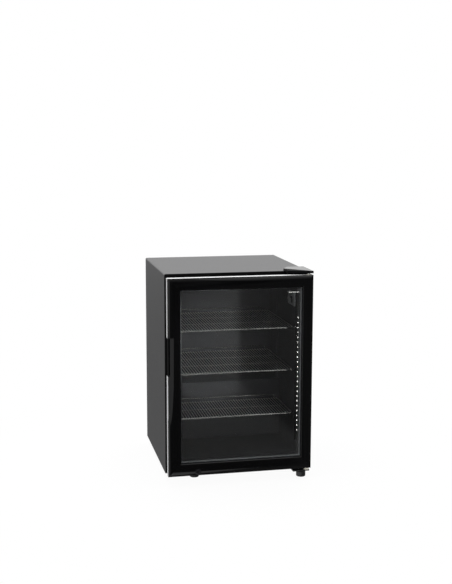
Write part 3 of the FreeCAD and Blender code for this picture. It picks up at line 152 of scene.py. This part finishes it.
powder_coat = grained("powder_coated_steel", "#141416", "#19191c", (0.34, 0.42), 1.4, 0.012, 90.0,
                      Specular_IOR_Level=0.72)
finish(powder_coat, 0.3, "outer_shell")


# Door frame: four black extruded lengths, mitred at the corners, with a rolled front edge. The fronts
# are polished, a deep even black with sharp reflections of the room; the other sides are left as drawn,
# matt and a shade greyer.
polished_abs = grained("polished_black_abs", "#020203", "#040405", (0.06, 0.10), 12.0, 0.003, 120.0,
                       Specular_IOR_Level=0.27)
drawn_abs = grained("unpolished_black_abs", "#060607", "#0a0a0b", (0.60, 0.75), 1.5, 0.01, 60.0,
                    Specular_IOR_Level=0.06)
for name, crease in (("door_stile_left", 8.0), ("door_stile_right", 40.0), ("door_rail_top", 40.0),
                     ("door_rail_bottom", 8.0)):
    finish(polished_abs, 0.3, name, crease=crease)
    member = bpy.data.objects[name + "_finish"].data
    member.materials.append(drawn_abs)
    normals = np.empty(3 * len(member.polygons))
    member.polygons.foreach_get("normal", normals)
    member.polygons.foreach_set("material_index", (np.abs(normals[1::3]) < 0.5).astype(int))


# Edge trim: a thin pale strip let in round the door's edge, open at the finger grip. Its near-white satin
# colour,
# half metallic, is a painted highlight: it stands for the bright line on the door's rolled edge, bright from
# every side.
pale_painted_highlight = grained("pale_strip_painted_highlight", "#e6e7e8", "#f0f1f2", (0.27, 0.31), 0.4, 0.0002, 80.0,
                     Metallic=0.3)
finish(pale_painted_highlight, 0.15, "door_edge_trim")


# Panes: two sheets of clear float glass with a still layer of air between them, held by the beads.
# Rays from lamps pass straight through, so that the cold room is lit; everything else sees real glass,
# with a trace of haze where it was wiped.
pane_glass, tree, output = blank("clear_float_glass")
place = add(tree, "ShaderNodeTexCoord").outputs["Object"]
smudge_mm = 70
smudge = add(tree, "ShaderNodeTexNoise", {"Scale": 1000 / smudge_mm, "Detail": 4.0, "Roughness": 0.6},
             {"Vector": place})
haze = add(tree, "ShaderNodeMapRange", {"From Min": 0.45, "From Max": 0.75, "To Min": 0.0, "To Max": 0.012},
           {"Value": smudge.outputs["Fac"]})
body = add(tree, "ShaderNodeBsdfPrincipled",
           {"Base Color": linear("#f3f4f4"), "IOR": 1.5, "Transmission Weight": 1.0},
           {"Roughness": haze.outputs["Result"]})
clear = add(tree, "ShaderNodeBsdfTransparent", {"Color": linear("#f3f4f4")})
path = add(tree, "ShaderNodeLightPath")
mix = add(tree, "ShaderNodeMixShader", None, {"Fac": path.outputs["Is Shadow Ray"]})
tree.links.new(body.outputs["BSDF"], mix.inputs[1])
tree.links.new(clear.outputs["BSDF"], mix.inputs[2])
tree.links.new(mix.outputs["Shader"], output.inputs["Surface"])


def dress(material, *names):
    """Gives CAD nodes a finish in place of their plain one."""
    for name in names:
        nodes[name].data.materials.clear()
        nodes[name].data.materials.append(material)


dress(pane_glass, "outer_glass", "inner_glass")


# Spacer: a rolled aluminium strip round the edge of the air gap, bonded to both panes.
# Rolling leaves it satin, with a soft grey shine that shows as one thin line inside the frame.
spacer_strip = grained("rolled_aluminium_strip", "#a4a6a9", "#b4b6b9", (0.26, 0.38), 1.0, 0.006, 40.0,
                       Metallic=0.5)
finish(spacer_strip, 0.2, "glass_spacer")


# Liner, runners and conduit: dark ABS sheet, drawn warm into a mould by vacuum, so that its inside
# corners are round. The sheet has a light leather grain that scatters the lamp's light.
formed_sheet = grained("vacuum_formed_dark_abs", "#38383b", "#404043", (0.42, 0.58), 1.1, 0.03, 80.0)
finish(formed_sheet, 0.6, "inner_liner", "shelf_runners", "sensor_conduit")


# Front frame: a flat black sheet round the mouth, cut from smooth ABS and bonded to the foam behind it.
# It gives the seal an even face to close on; its black is made very dark and dull, painted shade for the gap
# round the door.
gap_shade_abs = grained("black_abs_painted_gap_shade", "#09090a", "#0e0e0f", (0.50, 0.65), 1.1, 0.01, 80.0,
                      Specular_IOR_Level=0.1)
finish(gap_shade_abs, 0.2, "front_frame")


# Shelves: steel wires welded across heavier bars and a bent frame, then plated; they slide on the wall's
# runners.
# The plating is one, but the thin wires get a paler, rougher copy, painted light, and the bars and the frame
# a darker, polished copy, painted shade. A stop stands up along the rear edge, stop_rise above the wires.
lit_wire_nickel = grained("wire_nickel_painted_light", "#b0afab", "#c2c1bd", (0.42, 0.52), 3.0, 0.003, 30.0,
                       Metallic=1.0)
shaded_bar_nickel = grained("bar_nickel_painted_shade", "#a6a5a1", "#b8b7b3", (0.10, 0.18), 3.0, 0.003, 30.0,
                        Metallic=1.0)
finish(lit_wire_nickel, 0.0, "lower_shelf", "middle_shelf", "upper_shelf")
stop_rise = 0.0120
wire_depth = 0.0026
for level in ("lower", "middle", "upper"):
    shelf = bpy.data.objects[level + "_shelf_finish"].data
    shelf.materials.append(shaded_bar_nickel)
    points = np.empty(3 * len(shelf.vertices))
    shelf.vertices.foreach_get("co", points)
    shelf_top = points[2::3].max() - stop_rise
    centres = np.empty(3 * len(shelf.polygons))
    shelf.polygons.foreach_get("center", centres)
    below_top = shelf_top - centres[2::3]
    # Bars, frame and stop take the darker copy, painted shade; the wires' tops keep the paler one, painted
    # light.
    shelf.polygons.foreach_set("material_index", ((below_top > wire_depth) | (below_top < 0)).astype(int))


# Key lock: a barrel in the bottom rail with a plug that turns in it, brass under black chrome.
# The plating is nearly black, so that only its rolled rim and the keyway across the plug catch the light.
lock_chrome = grained("black_chromed_brass", "#2c2c2e", "#3a3a3d", (0.14, 0.24), 2.0, 0.003, 12.0,
                      Metallic=0.8)
finish(lock_chrome, 0.4, "lock_housing", "lock_plug")


# Seal: a soft rubber bellows, mitred and welded at the corners, whose dart is pressed into the door's groove.
# Its head carries the magnets and closes on the cabinet's front frame; the rubber is matt, dusted with talc.
seal_rubber = grained("soft_black_rubber", "#0c0c0c", "#141414", (0.60, 0.80), 0.9, 0.02, 25.0)
finish(seal_rubber, 0.0, "gasket_magnets")
seal_half_width, seal_half_height, seal_middle_z = 0.202, 0.2736, 0.3284
seal_rear_y, seal_depth = -0.187, 0.0093
along = np.linspace(0.0, 1.0, 41)
# The bellows' half-width along its depth t, from the door at 0 to the head at 1: 3.35 + 0.65 cos(4 pi t) mm
half_width = 0.00335 + 0.00065 * np.cos(4 * np.pi * along)
profile_out = np.concatenate((-half_width, half_width[::-1]))
profile_y = seal_rear_y + seal_depth * np.concatenate((along, along[::-1]))
corner_x, corner_z = np.array([1, -1, -1, 1])[:, None], np.array([1, 1, -1, -1])[:, None]
seal_points = np.stack((corner_x * (seal_half_width + profile_out), np.tile(profile_y, (4, 1)),
                        seal_middle_z + corner_z * (seal_half_height + profile_out)), axis=-1).reshape(-1, 3)
count = len(profile_out)
index = np.arange(4 * count).reshape(4, count)
ahead, beside = np.roll(index, -1, axis=0), np.roll(index, -1, axis=1)
seal_faces = np.stack((index, beside, np.roll(beside, -1, axis=0), ahead), axis=-1).reshape(-1, 4)
seal_mesh = bpy.data.meshes.new("seal_bellows")
seal_mesh.from_pydata(seal_points.tolist(), [], seal_faces.tolist())
seal_mesh.materials.append(seal_rubber)
seal_mesh.shade_smooth()
seal_mesh.set_sharp_from_angle(angle=math.radians(40.0))
seal = bpy.data.objects.new("seal_bellows", seal_mesh)
bpy.context.scene.collection.objects.link(seal)
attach(seal, nodes["door_gasket"]["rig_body"])
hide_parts("door_gasket")


# Hinge cover: a thin moulded cap that clips over the upper hinge plate and its screws.
# Its polished rear mirrors the bright wall behind; the corner over the door takes a matt copy of the black,
# painted shade that keeps it dark.
cap_abs = grained("polished_black_cap", "#050506", "#08080a", (0.10, 0.16), 6.0, 0.003, 40.0,
                  Specular_IOR_Level=0.6)
finish(cap_abs, 0.1, "hinge_cover")
cap = bpy.data.objects["hinge_cover_finish"].data
cap.materials.append(drawn_abs)
cap_points = np.empty(3 * len(cap.vertices))
cap.vertices.foreach_get("co", cap_points)
cap_low, cap_high = cap_points.reshape(-1, 3).min(axis=0), cap_points.reshape(-1, 3).max(axis=0)
# The painted shade lies in front of a line from the cap's right front corner to a point this far back at its
# left end
shade_reach = 0.0715
shade_corner = Vector((cap_high[0], cap_low[1], 0.0))
shade_side = Vector((-shade_reach, cap_low[0] - cap_high[0], 0.0))
halves = bmesh.new()
halves.from_mesh(cap)
bmesh.ops.bisect_plane(halves, geom=halves.verts[:] + halves.edges[:] + halves.faces[:], dist=1e-5,
                       plane_co=shade_corner, plane_no=shade_side)
halves.to_mesh(cap)
halves.free()
centres = np.empty(3 * len(cap.polygons))
cap.polygons.foreach_get("center", centres)
in_painted_shade = (centres.reshape(-1, 3) - np.array(shade_corner)) @ np.array(shade_side) > 0
cap.polygons.foreach_set("material_index", in_painted_shade.astype(int))


# Black mouldings: feet, glazing beads, rocker, relay box, drip tray, condenser clips and cord gland.
# They are polypropylene from spark-eroded moulds, which leave a fine matt texture.
moulding = grained("spark_textured_black_plastic", "#111112", "#18181a", (0.38, 0.52), 0.8, 0.02, 30.0)
finish(moulding, 0.8, "front_left_foot", "front_right_foot", "rear_feet", "light_rocker", "relay_box",
       "condenser_standoffs", "cord_gland")
finish(moulding, 0.4, "drip_tray", "glazing_beads")


# Control housing, its dial and the drain tube: grey moulded polystyrene with a fine matt texture.
# The housing is fixed to the right-hand wall and holds the flat dial and the lamp's rocker.
grey_moulding = grained("spark_textured_grey_plastic", "#a6a6a8", "#b2b2b4", (0.42, 0.56), 0.8, 0.02, 30.0)
finish(grey_moulding, 0.8, "control_housing", "drain_tube")
finish(grey_moulding, 0.3, "thermostat_knob")


# Lamp strip: a black anodised aluminium channel up the right-hand side of the mouth, with a row of lit
# chips on a narrow board. A pale bracket over its top end carries short lamps. The resin shines out of
# its broad face, which points into the cold room, and glows dimly through its sides.
channel_black = grained("matt_black_anodising", "#0b0b0c", "#101011", (0.70, 0.85), 1.0, 0.006, 40.0,
                        stretch=(1.0, 1.0, 0.05), Specular_IOR_Level=0.1)
finish(channel_black, 0.2, "led_channel")
solder_mask = grained("black_solder_mask", "#090a0a", "#0e100f", (0.75, 0.90), 2.0, 0.01, 20.0,
                      Specular_IOR_Level=0.1)
dress(solder_mask, "led_board")
# The bracket takes the trim's near-white finish too: a painted highlight, standing for the lamps' glints on
# it.
finish(pale_painted_highlight, 0.2, "lamp_bracket")
lit_resin, tree, output = blank("lit_lamp_resin")
place = add(tree, "ShaderNodeTexCoord").outputs["Object"]
glow = add(tree, "ShaderNodeTexNoise", {"Scale": 1000 / 3, "Detail": 2.0}, {"Vector": place})
evenness = add(tree, "ShaderNodeMapRange", {"From Min": 0.3, "From Max": 0.7, "To Min": 0.8, "To Max": 1.2},
               {"Value": glow.outputs["Fac"]})
faces = add(tree, "ShaderNodeTexCoord").outputs["Normal"]
facing = add(tree, "ShaderNodeSeparateXYZ", None, {"Vector": faces})
shine = add(tree, "ShaderNodeMapRange", {"From Min": -0.2, "From Max": -0.9, "To Min": 1.1, "To Max": 7.0},
            {"Value": facing.outputs["X"]})
strength = add(tree, "ShaderNodeMath", None,
               {0: evenness.outputs["Result"], 1: shine.outputs["Result"]}, operation="MULTIPLY")
tint = add(tree, "ShaderNodeMix", {6: linear("#f6f4ea"), 7: linear("#ffffff")},
           {"Factor": glow.outputs["Fac"]}, data_type="RGBA")
shader = add(tree, "ShaderNodeBsdfPrincipled", {"Base Color": linear("#f4f1e2"), "Roughness": 0.25},
             {"Emission Color": tint.outputs[2], "Emission Strength": strength.outputs["Value"]})
tree.links.new(shader.outputs["BSDF"], output.inputs["Surface"])
dress(lit_resin, "led_chips")


# Hinge bushes and thrust washer: natural nylon, turned from bar and pressed into the door's edges.
# The nylon is a slightly waxy off-white.
nylon = grained("natural_nylon", "#cdc9bb", "#d8d4c8", (0.35, 0.48), 1.5, 0.01, 20.0)
finish(nylon, 0.3, "hinge_bushes")


# Compressor, condenser grid, hinge plates and keeper: pressed and welded steel, dipped in black enamel.
# The enamel runs smooth, with a soft shine and slight waves.
enamel = grained("black_enamelled_steel", "#0e0e0f", "#151516", (0.28, 0.42), 2.5, 0.02, 35.0)
finish(enamel, 0.0, "condenser")
finish(enamel, 0.4, "compressor", "upper_hinge_plate", "lower_hinge_plate", "lock_keeper")


# Compressor grommets: soft rubber rings, moulded, between the compressor's plate and the base pan.
# They take up its shake, and look matt and black like the seal.
finish(seal_rubber, 0.0, "compressor_grommets")


# Back panel, base pan and bay cover: steel sheet dipped in molten zinc, folded, and screwed to the shell.
# The zinc freezes in flat crystals a few millimetres wide, each a little paler or darker than the next.
galvanised = grained("galvanised_sheet", "#8a8e91", "#b2b6b9", (0.32, 0.52), 8.0, 0.006, 9.0,
                     patches="ShaderNodeTexVoronoi", Metallic=1.0)
finish(galvanised, 0.2, "back_panel", "base_pan", "bay_cover")


# Screws, bolts, pins and the lock's cam: turned or stamped steel, bright zinc plated.
# The plating gives them a pale, even shine.
zinc = grained("bright_zinc_plate", "#b4b6b4", "#c8cac6", (0.22, 0.36), 1.5, 0.004, 10.0, Metallic=1.0)
finish(zinc, 0.3, "back_panel_screws", "upper_hinge_screws", "underside_screws", "compressor_bolts",
       "upper_hinge_pin", "lower_hinge_pin", "lock_cam")


# Pipes, drier and coil: drawn copper tube, bent cold and brazed at the joints.
# Handling and the torch leave brown patches on the bright metal.
copper = grained("drawn_copper", "#8a4a2c", "#c47a52", (0.22, 0.42), 4.0, 0.004, 18.0, Metallic=1.0)
finish(copper, 0.0, "filter_drier", "capillary_tube", "suction_pipe", "discharge_pipe", "evaporator_coil")


# Insulation: polyurethane foam, poured between the shell and the liner, where it sets rigid.
# It is cream-coloured, with fine open pores where it is cut.
foam = grained("rigid_cream_foam", "#d8c79a", "#e4d6ae", (0.8, 0.95), 1.2, 0.1, 40.0)
dress(foam, "insulation")


# Stage: a round white paper floor that takes a faint shadow, and two soft boxes, above and to the left.
floor_mesh = bpy.data.meshes.new("floor")
floor_radius = 1.4
floor_sides = 96
turns = np.arange(floor_sides) * 2 * np.pi / floor_sides
rim = np.column_stack((floor_radius * np.cos(turns), floor_radius * np.sin(turns), np.zeros(floor_sides)))
floor_mesh.from_pydata(rim.tolist(), [], [list(range(floor_sides))])
floor = bpy.data.objects.new("floor", floor_mesh)
bpy.context.scene.collection.objects.link(floor)
paper, tree, output = blank("white_paper_sweep")
place = add(tree, "ShaderNodeTexCoord").outputs["Object"]
distance = add(tree, "ShaderNodeVectorMath", None, {0: place}, operation="LENGTH")
fade = add(tree, "ShaderNodeMapRange", {"From Min": 0.3, "From Max": 0.9, "To Min": 0.95, "To Max": 1.0},
           {"Value": distance.outputs["Value"]}, interpolation_type="SMOOTHSTEP")
path = add(tree, "ShaderNodeLightPath")
seen = add(tree, "ShaderNodeMath", None,
           {0: path.outputs["Is Camera Ray"], 1: path.outputs["Is Transmission Ray"]}, operation="MAXIMUM")
share = add(tree, "ShaderNodeMath", None, {0: fade.outputs["Result"], 1: seen.outputs["Value"]},
            operation="MULTIPLY")
matt = add(tree, "ShaderNodeBsdfDiffuse", {"Color": linear("#f6f6f6")})
glow = add(tree, "ShaderNodeEmission", {"Color": linear("#ffffff"), "Strength": 1.0})
mix = add(tree, "ShaderNodeMixShader", None, {"Fac": share.outputs["Value"]})
tree.links.new(matt.outputs["BSDF"], mix.inputs[1])
tree.links.new(glow.outputs["Emission"], mix.inputs[2])
through = add(tree, "ShaderNodeBsdfTransparent", {"Color": linear("#ffffff")})
mirrored = add(tree, "ShaderNodeMixShader", None, {"Fac": path.outputs["Is Glossy Ray"]})
tree.links.new(mix.outputs["Shader"], mirrored.inputs[1])
tree.links.new(through.outputs["BSDF"], mirrored.inputs[2])
tree.links.new(mirrored.outputs["Shader"], output.inputs["Surface"])
floor_mesh.materials.append(paper)


def soft_box(name, place, target, size, watts):
    """A rectangular lamp at a place, turned to face a target."""
    light = bpy.data.lights.new(name, "AREA")
    light.shape = "RECTANGLE"
    light.size, light.size_y = size
    light.energy = watts
    lamp = bpy.data.objects.new(name, light)
    lamp.location = place
    lamp.rotation_euler = (Vector(target) - Vector(place)).to_track_quat("-Z", "Y").to_euler()
    bpy.context.scene.collection.objects.link(lamp)


soft_box("top_box", (0.0, 0.3, 2.6), (0.0, 0.0, 0.3), (2.0, 2.0), 60.0)
soft_box("left_box", (-2.4, -0.6, 1.4), (0.0, 0.0, 0.3), (1.2, 1.8), 14.0)

# Beam: a narrow spot from above the camera, which reaches through the glass to the shelves' left part.
beam_light = bpy.data.lights.new("shelf_beam", "SPOT")
beam_light.energy = 130.0
beam_light.spot_size = math.radians(3.7)
beam_light.spot_blend = 0.2
beam_light.shadow_soft_size = 0.01
beam = bpy.data.objects.new("shelf_beam", beam_light)
beam.location = (-0.66127, -3.08156, 1.30)
beam.rotation_euler = (Vector((-0.075, -0.10, 0.40)) - beam.location).to_track_quat("-Z", "Y").to_euler()
beam.scale = (1.0, 1.9, 1.0)
bpy.context.scene.collection.objects.link(beam)


# Room: white behind the object and to the eye, dim on the camera's side, where a paler wall stands on the
# left. Polished surfaces and glass mirror it by direction: x right, y away from the camera, z up.
world = bpy.data.worlds.new("studio")
bpy.context.scene.world = world
world.use_nodes = True
tree = world.node_tree
tree.nodes.clear()
path = add(tree, "ShaderNodeLightPath")
direction = add(tree, "ShaderNodeTexCoord").outputs["Generated"]
split = add(tree, "ShaderNodeSeparateXYZ", None, {"Vector": direction})
behind = add(tree, "ShaderNodeMapRange", {"From Min": -0.1, "From Max": 0.35, "To Min": 0.0, "To Max": 1.0},
             {"Value": split.outputs["Y"]}, interpolation_type="SMOOTHSTEP")
low_shade = add(tree, "ShaderNodeMapRange",
                {"From Min": -0.12, "From Max": 0.02, "To Min": 0.195, "To Max": 1.0},
                {"Value": split.outputs["Z"]}, interpolation_type="SMOOTHSTEP")
back_wall = add(tree, "ShaderNodeMath", None, {0: behind.outputs["Result"], 1: low_shade.outputs["Result"]},
                operation="MULTIPLY")
ceiling = add(tree, "ShaderNodeMapRange", {"From Min": 0.1, "From Max": 0.95, "To Min": 0.0, "To Max": 1.0},
              {"Value": split.outputs["Z"]})
far_side = add(tree, "ShaderNodeMapRange",
               {"From Min": -0.31, "From Max": -0.20, "To Min": 0.025, "To Max": 0.06},
               {"Value": split.outputs["Z"]}, interpolation_type="SMOOTHSTEP")
# side_line is near zero where the middle of the glass mirrors the room, and grows to the right
camera_lean = 0.2235
side_line = add(tree, "ShaderNodeMath", {1: camera_lean}, {0: split.outputs["Y"], 2: split.outputs["X"]},
                operation="MULTIPLY_ADD")
# The sunlit floor in front, which the bottom rail's slanted edge mirrors
in_front = add(tree, "ShaderNodeMath", {1: 0.0}, {0: split.outputs["Y"]}, operation="LESS_THAN")
near_floor = add(tree, "ShaderNodeMapRange",
                 {"From Min": 0.036, "From Max": 0.014, "To Min": 0.0, "To Max": 1.3},
                 {"Value": side_line.outputs["Value"]}, interpolation_type="SMOOTHSTEP")
near_floor = add(tree, "ShaderNodeMath", None,
                 {0: near_floor.outputs["Result"], 1: in_front.outputs["Value"]},
                 operation="MULTIPLY")
ground = add(tree, "ShaderNodeMapRange", {"From Min": -0.36, "From Max": -0.44, "To Min": 0.0, "To Max": 1.0},
             {"Value": split.outputs["Z"]}, interpolation_type="SMOOTHSTEP")
lit_floor = add(tree, "ShaderNodeMath", None, {0: near_floor.outputs["Value"], 1: ground.outputs["Result"]},
                operation="MULTIPLY")
# The paler wall on the left, with its skirting, which the left half of the glass mirrors
wall_glow = add(tree, "ShaderNodeMapRange",
                {"From Min": -0.055, "From Max": 0.0, "To Min": 0.03, "To Max": 0.13},
                {"Value": side_line.outputs["Value"]})
wall_edge = add(tree, "ShaderNodeMapRange",
                {"From Min": 0.010, "From Max": 0.003, "To Min": 0.1, "To Max": 1.0},
                {"Value": side_line.outputs["Value"]}, interpolation_type="SMOOTHSTEP")
wall_foot = add(tree, "ShaderNodeMapRange",
                {"From Min": -0.29, "From Max": -0.26, "To Min": 0.0, "To Max": 1.0},
                {"Value": split.outputs["Z"]}, interpolation_type="SMOOTHSTEP")
pale_wall = add(tree, "ShaderNodeMath", None,
                {0: wall_glow.outputs["Result"], 1: wall_edge.outputs["Result"]},
                operation="MULTIPLY")
pale_wall = add(tree, "ShaderNodeMath", None, {0: pale_wall.outputs["Value"], 1: wall_foot.outputs["Result"]},
                operation="MULTIPLY")
skirt_slope = 0.887
skirt_line = add(tree, "ShaderNodeMath", {1: skirt_slope},
                 {0: side_line.outputs["Value"], 2: split.outputs["Z"]}, operation="MULTIPLY_ADD")
skirt = add(tree, "ShaderNodeMapRange",
            {"From Min": -0.225, "From Max": -0.24, "To Min": 0.0, "To Max": 0.075},
            {"Value": skirt_line.outputs["Value"]}, interpolation_type="SMOOTHSTEP")
# A window far to the left, a wall on the right and a lamp high in the right-hand corner
window_wall = add(tree, "ShaderNodeMapRange",
                  {"From Min": -0.57, "From Max": -0.65, "To Min": 0.0, "To Max": 0.9},
                  {"Value": side_line.outputs["Value"]}, interpolation_type="SMOOTHSTEP")
right_wall = add(tree, "ShaderNodeMapRange",
                 {"From Min": 0.060, "From Max": 0.066, "To Min": 0.0, "To Max": 0.15},
                 {"Value": side_line.outputs["Value"]}, interpolation_type="SMOOTHSTEP")
far_lamp = add(tree, "ShaderNodeMapRange", {"From Min": 0.03, "From Max": 0.07, "To Min": 0.0, "To Max": 1.0},
               {"Value": side_line.outputs["Value"]}, interpolation_type="SMOOTHSTEP")
high_lamp = add(tree, "ShaderNodeMapRange",
                {"From Min": -0.06, "From Max": 0.6, "To Min": 0.0, "To Max": 2.2},
                {"Value": split.outputs["Z"]})
corner_lamp = add(tree, "ShaderNodeMath", None,
                  {0: far_lamp.outputs["Result"], 1: high_lamp.outputs["Result"]},
                  operation="MULTIPLY")
corner_lamp = add(tree, "ShaderNodeMath", None, {0: corner_lamp.outputs[0], 1: in_front.outputs[0]},
                  operation="MULTIPLY")
wall = add(tree, "ShaderNodeMath", None, {0: pale_wall.outputs["Value"], 1: skirt.outputs["Result"]},
           operation="MAXIMUM")
# All parts together; only mirrored and refracted rays see them, and the eye sees plain white
lit = back_wall
for part in (ceiling, far_side, lit_floor, window_wall, right_wall, corner_lamp):
    lit = add(tree, "ShaderNodeMath", None, {0: lit.outputs[0], 1: part.outputs[0]}, operation="MAXIMUM")
lit = add(tree, "ShaderNodeMath", None, {0: lit.outputs[0], 1: wall.outputs[0]}, operation="ADD")
mirror_ray = add(tree, "ShaderNodeMath", None,
                 {0: path.outputs["Is Glossy Ray"], 1: path.outputs["Is Transmission Ray"]},
                 operation="MAXIMUM")
room_level = 0.5
mirrored = add(tree, "ShaderNodeMix", {2: room_level},
               {0: mirror_ray.outputs["Value"], 3: lit.outputs[0]}, data_type="FLOAT")
level = add(tree, "ShaderNodeMath", None, {0: mirrored.outputs[0], 1: path.outputs["Is Camera Ray"]},
            operation="MAXIMUM")
backdrop = add(tree, "ShaderNodeBackground",
               {"Color": linear("#ffffff")}, {"Strength": level.outputs["Value"]})
sky = tree.nodes.new("ShaderNodeOutputWorld")
tree.links.new(backdrop.outputs["Background"], sky.inputs["Surface"])

bpy.context.scene.view_settings.view_transform = "Standard"


# Camera: stands to the left of the door, a little above the cabinet, with a long lens.
camera_place = Vector((-0.66127, -3.08156, 1.02727))
yaw, pitch, roll = math.radians(-12.2007), math.radians(8.8885), math.radians(0.1394)
focal_pixels = 1032.53
picture_height = 584
back = Vector((math.sin(yaw) * math.cos(pitch), -math.cos(yaw) * math.cos(pitch), math.sin(pitch)))
level_right = Vector((math.cos(yaw), math.sin(yaw), 0.0))
level_up = back.cross(level_right)
right = level_right * math.cos(roll) + level_up * math.sin(roll)
up = level_up * math.cos(roll) - level_right * math.sin(roll)
lens = bpy.data.cameras.new("camera")
lens.sensor_width = 36.0
lens.lens = lens.sensor_width * focal_pixels / picture_height
camera = bpy.data.objects.new("camera", lens)
camera.matrix_world = Matrix.Translation(camera_place) @ Matrix((right, up, back)).transposed().to_4x4()
bpy.context.scene.collection.objects.link(camera)
bpy.context.scene.camera = camera
